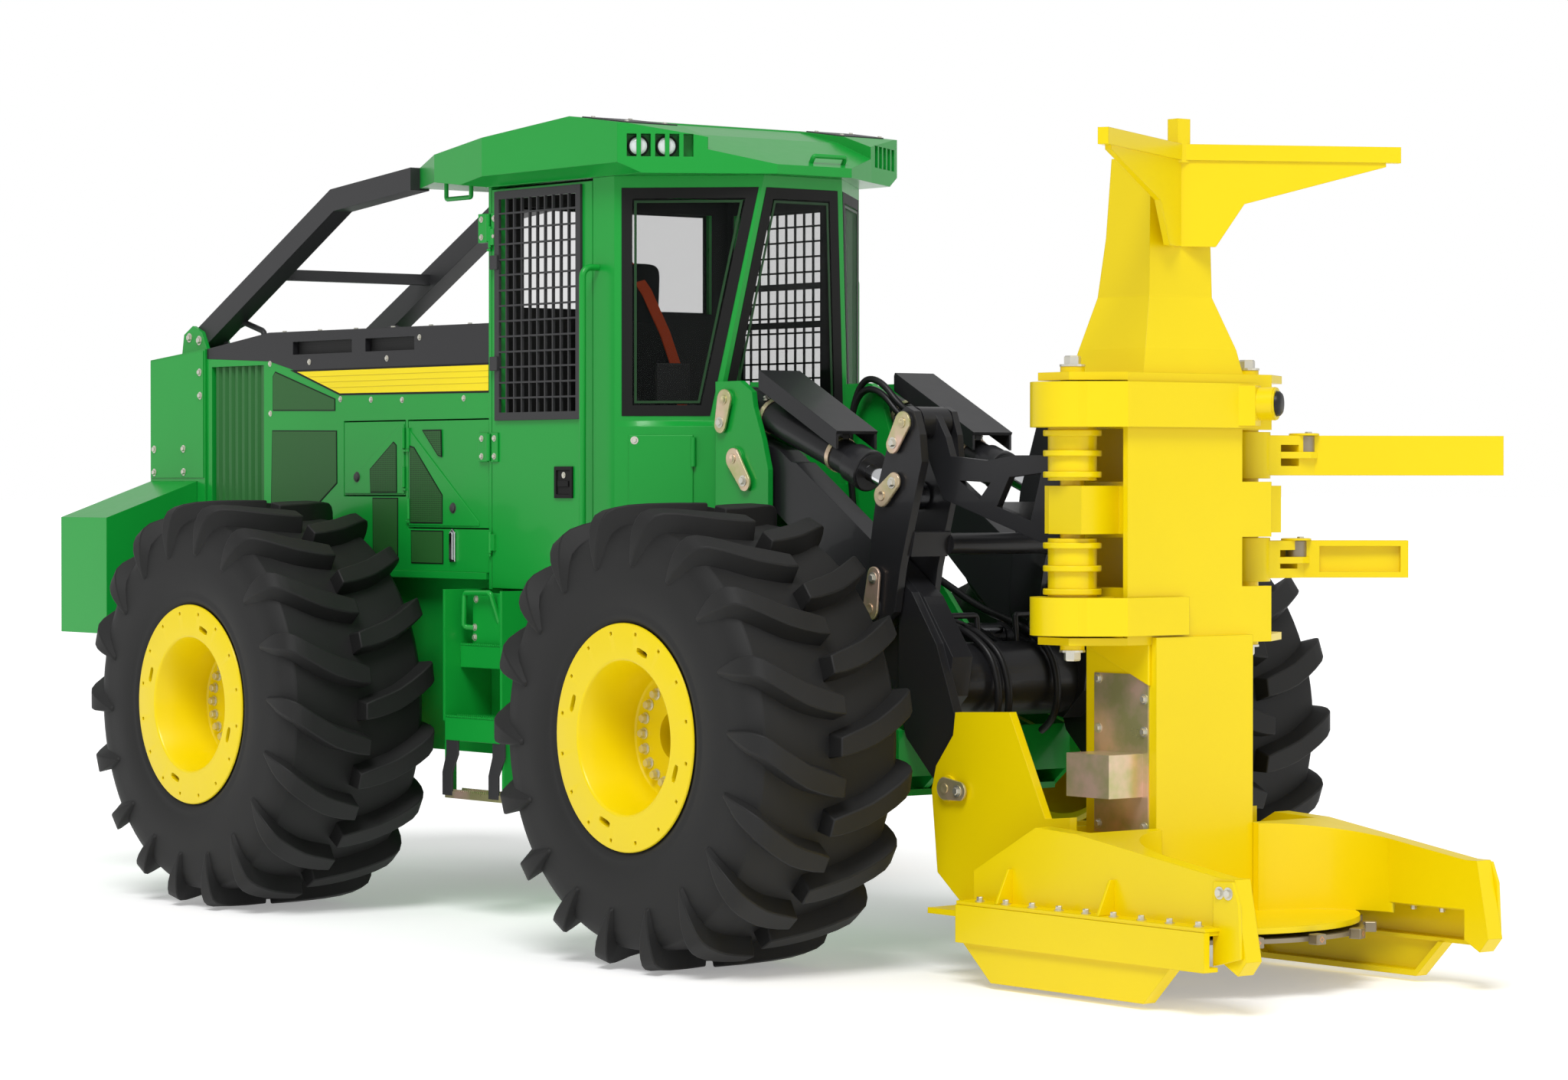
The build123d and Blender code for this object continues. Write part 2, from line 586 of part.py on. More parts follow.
# Boom: two arms from the towers, joined by a torque tube, with cheeks down to the felling head
arm_y = (300.0, 400.0)
cheek_y = (395.0, 435.0)
torque_tube = (2065.0, 1090.0)
torque_radius = 145.0
rocker_pin_radius = 45.0
head_pin_radius = 50.0
with BuildPart() as boom:
    both_plates([(982, 2045), (1204, 1985), (1279, 1938), (1310, 1934), (1802, 1617), (1991, 1491),
                 (2095, 1417), (2267, 1190), (2240, 1040), (2120, 930), (1960, 960), (1860, 1160),
                 (1700, 1330), (1330, 1640), (1040, 1830), (940, 1860)], *arm_y)
    both_rods(boom_pin, arm_y[0] - 10, arm_y[1] + 10, 100)
    both_rods(rocker_pin, arm_y[0] - 3, arm_y[1] + 10, 85)
    both_plates([(1990, 1486), (2065, 1434), (2210, 1239), (2306, 1003), (2420, 700), (2335, 612),
                 (2202, 716), (2032, 876), (1985, 1000)], *cheek_y)
    both_rods(head_pin, *cheek_y, 88)
    rod(torque_tube, -cheek_y[0] - 1, cheek_y[0] + 1, torque_radius)
    lug = [(1745, 1195), (1745, 1262), (1800, 1300), (2000, 1225), (2065, 1090), (1930, 1030)]
    for inner in (lift_y[0] - 30, lift_y[1] + running_gap):
        both_plates(lug, inner, inner + 25)
    both_rods(lift_rod_pin, lift_y[1] + running_gap, lift_y[1] + running_gap + 40, 45)
    both_rods(boom_pin, 200, 500, boom_pin_radius + pin_fit, Mode.SUBTRACT)
    both_rods(rocker_pin, 200, 500, rocker_pin_radius + pin_fit, Mode.SUBTRACT)
    both_rods(head_pin, 200, 500, head_pin_radius + pin_fit, Mode.SUBTRACT)
keep(boom, "boom")

# Rocker: paired levers on the boom that the tilt cylinders swing
rocker_inner = (262.0, 290.0)
rocker_outer = (445.0, 480.0)
link_pin_radius = 40.0
with BuildPart() as rocker:
    lever = [(2085, 2147), (2131, 2128), (2165, 2038), (2177, 1934), (2108, 1718), (2050, 1530), (2015, 1357),
             (1945, 1310), (1845, 1353), (1851, 1466), (1868, 1603), (1910, 1829), (1968, 1980), (2015, 2107)]
    both_plates(lever, *rocker_inner)
    both_plates(lever, *rocker_outer)
    both_plates([(2050, 1575), (2075, 1570), (2098, 1665), (2062, 1668)], rocker_inner[0], rocker_outer[0] + 1)
    rod((2072, 1618), -rocker_inner[0] - 1, rocker_inner[0] + 1, 42)
    both_rods(rocker_pin, rocker_inner[0], rocker_outer[1] + 10, rocker_pin_radius)
    both_rods(link_pin, rocker_inner[0], rocker_outer[1] + 10, link_pin_radius)
    both_rods(rod_pin, rocker_outer[0], rocker_outer[1] + 10, link_pin_radius)
keep(rocker, "rocker")

# Tilt link: box of two windowed sides between the rocker and the felling head
link_y = (345.0, 375.0)
with BuildPart() as tilt_link:
    both_plates([(2050, 2136), (2130, 2125), (2195, 2030), (2225, 1955), (2432, 1938), (2588, 1957),
                 (2800, 1956), (2905, 1802), (2905, 1700), (2800, 1631), (2741, 1631), (2179, 1792),
                 (2040, 2040)], *link_y)
    both_rods(link_pin, rocker_inner[1] + 7, rocker_outer[0] - 7, 62)
    both_rods(head_link_pin, 332, 388, 58)
    both_plates([(2275, 1862), (2455, 1855), (2390, 1792)], link_y[0] - 5, link_y[1] + 5, mode=Mode.SUBTRACT)
    both_plates([(2560, 1875), (2740, 1890), (2680, 1712), (2490, 1765)], link_y[0] - 5, link_y[1] + 5,
                mode=Mode.SUBTRACT)
    plate([(2290, 1915), (2290, 1935), (2432, 1930), (2588, 1949), (2741, 1949), (2741, 1929),
           (2588, 1929), (2432, 1910)], -link_y[0], link_y[0])
    plate([(2300, 1762), (2700, 1646), (2700, 1666), (2306, 1781)], -link_y[0], link_y[0])
    both_rods(link_pin, 200, 500, link_pin_radius + pin_fit, Mode.SUBTRACT)
keep(tilt_link, "tilt_link")

# Cylinders: base and rod-end pins, side planes, radii of the eyes, barrel, gland, rod and base bore,
# far end of the gland and inner end of the rod, which keeps the closing stroke clear of the base
cylinders = (("tilt", cylinder_pin, rod_pin, eye_y - eye_half, eye_y + eye_half, 55, 68, 76, 35,
              base_pin_radius, 845, 250),
             ("lift", lift_base_pin, lift_rod_pin, *lift_y, 58, 60, 64, 32, lift_pin_radius, 800, 130))
for (name, base, rod_end, y_right, y_left, eye, barrel_radius, gland_radius, rod_radius, bore, gland_end,
     rod_foot) in cylinders:
    middle = (y_right + y_left) / 2
    with BuildPart() as barrels:
        for y in (-middle, middle):
            bar(along(base, rod_end, 70), along(base, rod_end, gland_end), y, barrel_radius)
            bar(along(base, rod_end, gland_end - 110), along(base, rod_end, gland_end), y, gland_radius)
            bar(along(base, rod_end, 0), along(base, rod_end, 80), y, eye - 15)
        both_rods(base, y_right, y_left, eye)
        for y in (-middle, middle):
            bar(along(base, rod_end, 100), along(base, rod_end, gland_end - 90), y, rod_radius + 14, Mode.SUBTRACT)
            bar(along(base, rod_end, 100), along(base, rod_end, gland_end + 1), y, rod_radius + pin_fit,
                Mode.SUBTRACT)
        both_rods(base, y_right - 5, y_left + 5, bore + pin_fit, Mode.SUBTRACT)
        if name == "tilt":
            # Folded guards over the tilt cylinders
            both_plates([(1143, 2293), (1634, 2045), (1640, 2057), (1149, 2305)], 250, 458)
            both_plates([(1143, 2230), (1143, 2293), (1634, 2045), (1634, 1985)], 446, 458)
            both_plates([(1143, 2230), (1143, 2293), (1634, 2045), (1634, 1985)], 250, 262)
            both_plates([(1200, 2185), (1260, 2165), (1260, 2238), (1200, 2265)], 330, 360)
            both_plates([(1500, 2050), (1560, 2020), (1560, 2085), (1500, 2115)], 330, 360)
            for y in (-middle, middle):
                bar(along(base, rod_end, 100), along(base, rod_end, gland_end - 90), y, rod_radius + 14,
                    Mode.SUBTRACT)
    keep(barrels, f"{name}_barrels")
    with BuildPart() as rods:
        for y in (-middle, middle):
            bar(along(base, rod_end, rod_foot), rod_end, y, rod_radius)
        both_rods(rod_end, y_right, y_left, eye)
    keep(rods, f"{name}_rods")

# Felling head: rear ears on the boom pins
ear_inner = (340.0, 375.0)
ear_outer = (445.0, 480.0)
deck_top = 262.0
deck_bottom = 240.0
with BuildPart() as head_ears:
    both_plates([(2373, 987), (2680, 1000), (2880, 614), (3015, 627), (3015, deck_top), (2420, deck_top),
                 (2361, 306), (2270, 376), (2236, 690), (2262, 780), (2360, 900)], *ear_outer)
    both_plates([(2250, 730), (2440, 900), (2700, 640), (2700, deck_top), (2420, deck_top), (2250, 600)],
                *ear_inner)
    for x in (2500, 2672):
        block((x, x + 25), (-ear_outer[0], ear_outer[0]), (deck_top, 560))
    both_rods(head_pin, *ear_inner, 90)
    both_rods(head_pin, ear_inner[0], ear_outer[1] + 12, head_pin_radius)
keep(head_ears, "head_ears")

# Felling head column: boxed plates behind the tree pocket, with lugs for the arm pins
column_rear = 2850.0
column_front = 3203.0
arm_x, arm_pin_y = arm_axis
arm_pin_radius = 45.0
lug_plan = [(column_rear, -290), (2905, -540), (3080, -545), (column_front, -368), (column_front, 368),
            (3080, 545), (2905, 540), (column_rear, 290)]
with BuildPart() as head_column:
    block((column_front - 25, column_front), (-368, 368), (1260, 2228))
    both_plates([(column_rear, 1260), (column_front - 25, 1260), (column_front - 25, 2228),
                 (column_rear, 2228)], 260, 285)
    both_plates([(column_rear, deck_top), (column_front, deck_top), (column_front, 1262), (column_rear, 1262)],
                222, 247)
    block((column_front, 3228), (-247, 247), (deck_top, 1288))
    block((column_rear, column_rear + 25), (-222, 222), (deck_top, 1262))
    block((column_rear, column_rear + 25), (-262, 262), (1262, 2228))
    slab(lug_plan, 2228, 2258)
    slab(lug_plan, 1260, 1288)
    for sign in (-1, 1):
        # Middle lug, with a slot for the eye of the tilt link
        block((2815, column_front - 25), sorted((sign * 285, sign * 325)), (1666, 1843))
        block((2999, 3110), sorted((sign * 325, sign * 512)), (1666, 1843))
        block((2932, 3000), sorted((sign * 395, sign * 512)), (1666, 1843))
        block((2880, 2933), sorted((sign * 395, sign * 425)), (1666, 1843))
        block((2815, 2881), sorted((sign * 395, sign * 425)), (1666, 1843))
        post((arm_x, sign * arm_pin_y), 1240, 2280, arm_pin_radius)
    for low, high in ((1858, 2052), (1468, 1652)):
        block((2905, column_front - 25), (-300, 300), (low, high), Mode.SUBTRACT)
        block((column_front - 30, column_front + 5), (215, 380), (low, high), Mode.SUBTRACT)
keep(head_column, "head_column")

# Neck and the V-shaped pusher bar over the column
with BuildPart() as head_top:
    sections = ((2258, 2770, 3165, 255), (2350, 2790, 3152, 232), (2545, 2815, 3096, 160),
                (2765, 2855, 3092, 155), (3060, 2880, 3092, 150))
    for (z0, rear0, front0, half0), (z1, rear1, front1, half1) in zip(sections, sections[1:]):
        with BuildSketch(deck(z0)) as foot:
            with BuildLine():
                Polyline((rear0, -half0), (front0, -half0), (front0, half0), (rear0, half0), close=True)
            make_face()
        with BuildSketch(deck(z1)) as head:
            with BuildLine():
                Polyline((rear1, -half1), (front1, -half1), (front1, half1), (rear1, half1), close=True)
            make_face()
        loft([foot.sketch.face(), head.sketch.face()], ruled=True)
    for sign in (-1, 1):
        bar_run = hypot(403, 755)
        bar_plane = Plane(origin=(pivot_x + 3084, 0, 0), x_dir=(403, sign * 755, 0), z_dir=(755, -sign * 403, 0))
        up = bar_plane.y_dir.Z
        with BuildSketch(bar_plane) as pusher:
            with BuildLine():
                Polyline((0, up * 3050), (bar_run, up * 3050), (bar_run, up * 3110), (0, up * 3110), close=True)
            make_face()
        extrude(pusher.sketch, amount=20, both=True)
        with BuildSketch(bar_plane) as web:
            with BuildLine():
                Polyline((0, up * 3055), (800, up * 3055), (800, up * 3035), (250, up * 2890), (140, up * 2730),
                         (0, up * 2730), close=True)
            make_face()
        extrude(web.sketch, amount=12, both=True)
    block((3058, 3112), (-32, 32), (3040, 3203))
keep(head_top, "head_top")

# Saw housing: deck over the disc, pocket walls beside the column and fenders out to the horns
fender_y = (575.0, 650.0)
flange_z = (300.0, 314.0)
spindle_nose = 60.0                # radius of the saw spindle
pocket_x = 3640.0                  # where the curved pocket walls run into the fenders
pocket_radius = 386.0
pocket_y = fender_y[0] + 1 - pocket_radius
with BuildPart() as saw_housing:
    post((saw_centre_x, 0), 180, deck_bottom, spindle_nose)
    slab([(2400, -640), (saw_centre_x, -640), (saw_centre_x, 640), (2400, 640)], deck_bottom, deck_top)
    post((saw_centre_x, 0), deck_bottom, deck_top, 640)
    for sign in (-1, 1):
        # Corner between the column and the fender: a concave pocket wall under a sloping top
        with BuildSketch(deck(deck_top)) as corner:
            with BuildLine():
                wall = ThreePointArc((pocket_x - sqrt(pocket_radius ** 2 - (247 - pocket_y) ** 2), sign * 247),
                                     (pocket_x - pocket_radius * cos(radians(45)),
                                      sign * (pocket_y + pocket_radius * sin(radians(45)))),
                                     (pocket_x, sign * (pocket_y + pocket_radius)))
                Polyline(wall @ 1, (3228.5, (wall @ 1).Y), (3228.5, sign * 247), wall @ 0)
            make_face()
        extrude(corner.sketch, amount=600 - deck_top)
    both_plates([(3200, 594), (3228, 590), (3700, 523), (3700, 700), (3200, 700)], 240, 577, mode=Mode.SUBTRACT)
    both_plates([(3016, deck_bottom), (2674, deck_bottom), (2674, 420), (3016, 600), (3230, 590), (3985, 482),
                 (4046, 482), (4102, 200), (4060, 150), (3985, 190), (3985, flange_z[0]),
                 (3300, flange_z[0]), (3300, deck_bottom)], *fender_y)
    for sign in (-1, 1):
        block((2674, 3985), sorted((sign * 600, sign * 735)), flange_z)
keep(saw_housing, "saw_housing")

# Skids: side walls around the disc on runners, bolted up to the housing
skid_bottom = 23.0
with BuildPart() as skids:
    both_plates([(2674, 160), (3985, 160), (3985, 299.5), (2674, 299.5)], 712, 740)
    both_plates([(2674, 160), (3985, 160), (3985, 176), (2674, 176)], 672, 713)
    both_plates([(2694, 161), (2851, skid_bottom), (3663, skid_bottom), (3800, 161)], 700, 722)
    both_plates([(2694, 161), (2851, skid_bottom), (3663, skid_bottom), (3800, 161), (3772, 161), (3655, 45),
                 (2860, 45), (2722, 161)], 665, 701)
    both_plates([(2674, 286), (3980, 286), (3980, 299.5), (2674, 299.5)], 652, 713)
keep(skids, "skids")

# Felling saw: disc with square carbide teeth round its rim
disc_z = (208.0, 224.0)
tooth_length = 48.0
with BuildPart() as saw_disc:
    post((saw_centre_x, 0), *disc_z, saw_radius - tooth_length + 6)
    post((saw_centre_x, 0), 190, disc_z[0], 130)
    with BuildSketch(deck(198)) as teeth:
        with Locations((saw_centre_x, 0)):
            with PolarLocations(saw_radius - tooth_length / 2 - 1, tooth_count):
                Rectangle(tooth_length, 40)
    extrude(teeth.sketch, amount=36)
    post((saw_centre_x, 0), 180, 240, spindle_nose + pin_fit, Mode.SUBTRACT)
keep(saw_disc, "saw_disc")

# Gathering arms: the right pair lies closed across the column, the left pair stands open
hub_radius = 90.0
wrap_radius = 156.0
band = 24.0
blade_in = 3210.0
# Name, bottom and top of the band, bottom and top of the hub, reach to the left
right_arms = (("upper", 2057, 2223, 1862, 2223, 273), ("lower", 1295, 1435, 1295, 1650, -86))
for name, low, high, hub_low, hub_high, reach in right_arms:
    with BuildPart() as right_arm:
        post((arm_x, -arm_pin_y), low, high, wrap_radius)
        post((arm_x, -arm_pin_y), low + 20, high - 20, wrap_radius - band, Mode.SUBTRACT)
        slab([(arm_x + 40, -arm_pin_y - 150), (arm_x + 155, -arm_pin_y - 70), (blade_in + band, -395),
              (blade_in + band, reach), (blade_in, reach), (blade_in, -380), (arm_x + 130, -arm_pin_y - 50),
              (arm_x + 60, -arm_pin_y - 120)], low, high)
        post((arm_x, -arm_pin_y), hub_low, hub_high, hub_radius)
        if name == "upper":
            # Round stop at the tip, on a wedge across the end of the band
            slab([(blade_in + band - 1, reach - 110), (blade_in + band + 43, reach - 64), (blade_in + 31, reach),
                  (blade_in + band - 1, reach)], low + 8, high - 8)
            tip_plane = Plane(origin=(pivot_x + blade_in + 36, reach - 10, (low + high) / 2 + 8), z_dir=(0.87, 0.5, 0))
            with BuildSketch(tip_plane):
                Circle(62)
            extrude(amount=60)
        post((arm_x, -arm_pin_y), hub_low - 10, hub_high + 10, arm_pin_radius + pin_fit, Mode.SUBTRACT)
    keep(right_arm, f"arm_right_{name}")

# Name, bottom and top, elbow and tip as x and y, half thickness at elbow and tip
left_arms = (("upper", 1870, 2046, (3043, 742), (3450, 1370), 48, 16),
             ("lower", 1480, 1646, (3036, 702), (3290, 1010), 48, 40))
for name, low, high, elbow, tip, elbow_half, tip_half in left_arms:
    with BuildPart() as left_arm:
        run = atan2(tip[1] - elbow[1], tip[0] - elbow[0])
        across = (-sin(run), cos(run))
        post((arm_x, arm_pin_y), low, high, hub_radius)
        slab([(arm_x - 78, arm_pin_y + 40), (elbow[0] + elbow_half * across[0], elbow[1] + elbow_half * across[1]),
              (tip[0] + tip_half * across[0], tip[1] + tip_half * across[1]),
              (tip[0] - tip_half * across[0], tip[1] - tip_half * across[1]),
              (elbow[0] - elbow_half * across[0], elbow[1] - elbow_half * across[1]),
              (arm_x + 82, arm_pin_y + 30)], low + 12, high - 12)
        # Lever plates above and below the gap beside the hub
        block((arm_x - 100, arm_x + 120), (arm_pin_y + hub_radius + 8, arm_pin_y + 190), (low + 48, high - 48),
              Mode.SUBTRACT)
        if name == "lower":
            # Channel section, open to the front
            web = [(elbow[0] + 60 * cos(run) + across[0] * -10, elbow[1] + 60 * sin(run) + across[1] * -10),
                   (elbow[0] + 60 * cos(run) + across[0] * -60, elbow[1] + 60 * sin(run) + across[1] * -60),
                   (tip[0] - 30 * cos(run) + across[0] * -60, tip[1] - 30 * sin(run) + across[1] * -60),
                   (tip[0] - 30 * cos(run) + across[0] * -10, tip[1] - 30 * sin(run) + across[1] * -10)]
            slab(web, low + 34, high - 34, Mode.SUBTRACT)
        post((arm_x, arm_pin_y), low - 10, high + 10, arm_pin_radius + pin_fit, Mode.SUBTRACT)
    keep(left_arm, f"arm_left_{name}")

# Zinc-plated covers on the right of the column, over the saw motor
with BuildPart() as column_covers:
    block((2900, 3190), (-253, -247), (560, 1150))
    block((2930, 3160), (-420, -253), (700, 860))
keep(column_covers, "column_covers")

# Wheels, made at the front right and copied to the other corners
corners = (("front_right", front_axle_x, -1), ("front_left", front_axle_x, 1),
           ("rear_right", rear_axle_x, -1), ("rear_left", rear_axle_x, 1))
flange_half = rim_width / 2
rim_bore = spindle_radius + pin_fit
hub_plate = (90.0, 114.0)
bead_radius = 406.0
ring_radius = 292.0
with BuildPart() as rim:
    with BuildSketch(Plane.XY):
        with BuildLine():
            Polyline((hub_inner - half_track, rim_bore), (hub_inner - half_track, 185), (hub_plate[0], 185),
                     (hub_plate[0], 262), (flange_half - 34, ring_radius + 22), (flange_half - 34, bead_radius - 16),
                     (18 - flange_half, bead_radius - 16), (-flange_half, rim_radius - 20),
                     (-flange_half, rim_radius), (14 - flange_half, rim_radius), (24 - flange_half, bead_radius),
                     (flange_half - 24, bead_radius), (flange_half - 14, rim_radius), (flange_half, rim_radius),
                     (flange_half, ring_radius), (hub_plate[1], 244), (hub_plate[1], 0),
                     (spindle_end - half_track + running_gap, 0), (spindle_end - half_track + running_gap, rim_bore),
                     close=True)
        make_face()
    revolve(axis=Axis.X)

carcass_radius = 812.0
sidewall_half = 366.0
tyre_side = tyre_width / 2


def tyre_section(crown, shoulder, wall):
    """Half outline of the tyre: crown radius, shoulder and widest point as half width and radius."""
    bead_half = flange_half - 24.5
    return [(bead_half, bead_radius + 0.3), (bead_half + 9, rim_radius + 4), (flange_half - 6, rim_radius + 12),
            wall, shoulder, (300, crown)]


with BuildPart() as tyre:
    outline = tyre_section(carcass_radius, (350, 760), (sidewall_half, 590))
    with BuildSketch(Plane.XY):
        with BuildLine():
            Polyline(*outline, *[(-y, radius) for y, radius in reversed(outline)], close=True)
        make_face()
    revolve(axis=Axis.X)

with BuildPart() as lug_envelope:
    outline = [(0, 500), (sidewall_half - 4, 500), (sidewall_half + 2, 590), (tyre_side, 700), (tyre_side, 790),
               (310, 882), (200, tyre_radius), (0, tyre_radius)]
    with BuildSketch(Plane.XY):
        with BuildLine():
            Polyline(*outline, close=True)
        make_face()
    revolve(axis=Axis.X)

with BuildPart() as lug_bar:
    with BuildSketch(Plane.XY.offset(600)):
        with BuildLine():
            Polyline((-15, -45), (-15, 45), (150, 10), (400, -130), (400, -225), (150, -90), close=True)
        make_face()
    extrude(amount=400)
    add(lug_envelope.part, mode=Mode.INTERSECT)

lug_pitch = 360 / lug_count
other_lug = mirror(lug_bar.part, Plane.YZ)
outer_lugs = [lug_bar.part.rotate(Axis.X, turn * lug_pitch) for turn in range(lug_count)]
inner_lugs = [other_lug.rotate(Axis.X, (turn + 0.5) * lug_pitch) for turn in range(lug_count)]
with BuildPart() as lugged_tyre:
    add(tyre.part)
    add([*outer_lugs, *inner_lugs])

for corner, axle_x, sign in corners:
    hub = Plane(origin=(pivot_x + axle_x, -half_track, axle_z), x_dir=(0, -1, 0), z_dir=(0, 0, 1))
    for name, pattern in (("rim", rim), ("tyre", lugged_tyre)):
        placed = hub.location * pattern.part
        with BuildPart() as wheel_piece:
            add(placed if sign < 0 else mirror(placed, Plane.XZ))
        keep(wheel_piece, f"{name}_{corner}")
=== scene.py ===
# Wheeled feller buncher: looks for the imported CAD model.
import math

import bmesh
import bpy
from mathutils import Matrix, Vector


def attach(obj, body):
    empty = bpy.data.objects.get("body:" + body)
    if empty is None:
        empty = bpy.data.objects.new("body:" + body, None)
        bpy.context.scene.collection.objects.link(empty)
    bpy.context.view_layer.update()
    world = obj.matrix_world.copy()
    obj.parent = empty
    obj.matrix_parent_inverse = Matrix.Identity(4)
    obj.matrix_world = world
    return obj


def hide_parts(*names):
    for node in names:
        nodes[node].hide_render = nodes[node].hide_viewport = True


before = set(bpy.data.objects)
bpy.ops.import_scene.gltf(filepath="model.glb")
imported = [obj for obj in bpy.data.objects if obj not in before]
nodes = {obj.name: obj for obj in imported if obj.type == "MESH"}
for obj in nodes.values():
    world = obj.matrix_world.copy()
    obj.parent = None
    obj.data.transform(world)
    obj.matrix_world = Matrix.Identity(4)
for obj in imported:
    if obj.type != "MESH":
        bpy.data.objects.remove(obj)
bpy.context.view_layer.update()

# View: a long lens from the right front corner of the machine, almost level with the hubs of
# the wheels, as the machine was photographed in the studio.
view_turn = math.radians(51.43)
view_dip = math.radians(0.75)
sight = Vector((-math.sin(view_turn) * math.cos(view_dip), math.cos(view_turn) * math.cos(view_dip),
                -math.sin(view_dip)))
camera = bpy.data.objects.new("camera", bpy.data.cameras.new("camera"))
camera.data.lens = 99.16
camera.data.sensor_width = 36
camera.location = (14.3248, -11.1559, 1.8515)
camera.rotation_euler = sight.to_track_quat("-Z", "Y").to_euler()
bpy.context.collection.objects.link(camera)
bpy.context.scene.camera = camera
bpy.context.scene.view_settings.view_transform = "Standard"

# Studio light: a large soft sun over the camera's left shoulder, a weak one from the other side,
# and a white room that is seen by the lens and in gloss and glass, but lights less.
for name, strength, spread, direction in (("key_light", 2.0, 25, (-0.55, 0.62, -1.0)),
                                          ("fill_light", 0.4, 60, (-0.9, -0.25, -0.45))):
    light = bpy.data.objects.new(name, bpy.data.lights.new(name, "SUN"))
    light.data.energy = strength
    light.data.angle = math.radians(spread)
    light.rotation_euler = Vector(direction).to_track_quat("-Z", "Y").to_euler()
    bpy.context.collection.objects.link(light)


class Socket:
    """One output in a material's node tree; arithmetic on it adds Math nodes."""

    def __init__(self, finish, output):
        self.finish = finish
        self.output = output

    def math(self, operation, first, second):
        return self.finish.node("ShaderNodeMath", {"operation": operation}, {0: first, 1: second})

    def __add__(self, other):
        return self.math("ADD", self, other)

    def __sub__(self, other):
        return self.math("SUBTRACT", self, other)

    def __rsub__(self, other):
        return self.math("SUBTRACT", other, self)

    def __mul__(self, other):
        return self.math("MULTIPLY", self, other)

    def __lt__(self, other):
        return self.math("LESS_THAN", self, other)

    __radd__ = __add__
    __rmul__ = __mul__


class Finish:
    """A material or the world: its node tree, and the one method that adds a node to it."""

    def __init__(self, owner):
        self.owner = owner
        owner.use_nodes = True
        self.tree = owner.node_tree

    def node(self, kind, settings=None, values=None, output=0):
        made = self.tree.nodes.new(kind)
        for key, value in (settings or {}).items():
            if key == "stops":
                for stop, (place, shade) in zip(made.color_ramp.elements, value):
                    stop.position = place
                    stop.color = (shade, shade, shade, 1)
            else:
                setattr(made, key, value)
        for key, value in (values or {}).items():
            self.feed(made.inputs[key], value)
        return Socket(self, made.outputs[output])

    def feed(self, target, value):
        if isinstance(value, Socket):
            self.tree.links.new(value.output, target)
        else:
            target.default_value = value

    def mix(self, share, first, second):
        return self.node("ShaderNodeMix", {"data_type": "RGBA"}, {0: share, 6: first, 7: second}, 2)


room = Finish(bpy.data.worlds.new("room"))
bpy.context.scene.world = room.owner
camera_ray = room.node("ShaderNodeLightPath")
glossy_ray = room.node("ShaderNodeLightPath", output=3)
through_ray = room.node("ShaderNodeLightPath", output=6)
seen = room.node("ShaderNodeMath", {"operation": "MINIMUM"}, {0: camera_ray + through_ray, 1: 1.0})
unseen = room.mix(glossy_ray, (0.42, 0.42, 0.42, 1), (0.6, 0.6, 0.6, 1))
room.feed(room.tree.nodes["Background"].inputs["Color"],
          room.mix(seen, unseen, (1.0, 1.0, 1.0, 1)))

# Floor: smooth white studio floor, which takes a soft shadow of the machine.
half_floor = 400.0
floor_mesh = bpy.data.meshes.new("floor")
floor_corners = [(across * half_floor, along * half_floor, 0)
                 for across, along in ((-1, -1), (1, -1), (1, 1), (-1, 1))]
floor_mesh.from_pydata(floor_corners, [], [(0, 1, 2, 3)])
floor = bpy.data.objects.new("floor", floor_mesh)
bpy.context.collection.objects.link(floor)
floor_paint = Finish(bpy.data.materials.new("floor_paint"))
floor_shader = floor_paint.tree.nodes["Principled BSDF"]
floor_shader.inputs["Base Color"].default_value = (0.93, 0.93, 0.93, 1)
floor_shader.inputs["Roughness"].default_value = 0.9
floor_shader.inputs["Emission Color"].default_value = (1, 1, 1, 1)
floor_shader.inputs["Emission Strength"].default_value = 0.3
floor.data.materials.append(floor_paint.owner)

# Paint and metal of the machine: gloss green and yellow enamel with a faint orange peel, satin
# black on the boom and hood top, and plated or polished steel on pins, plates and rods.


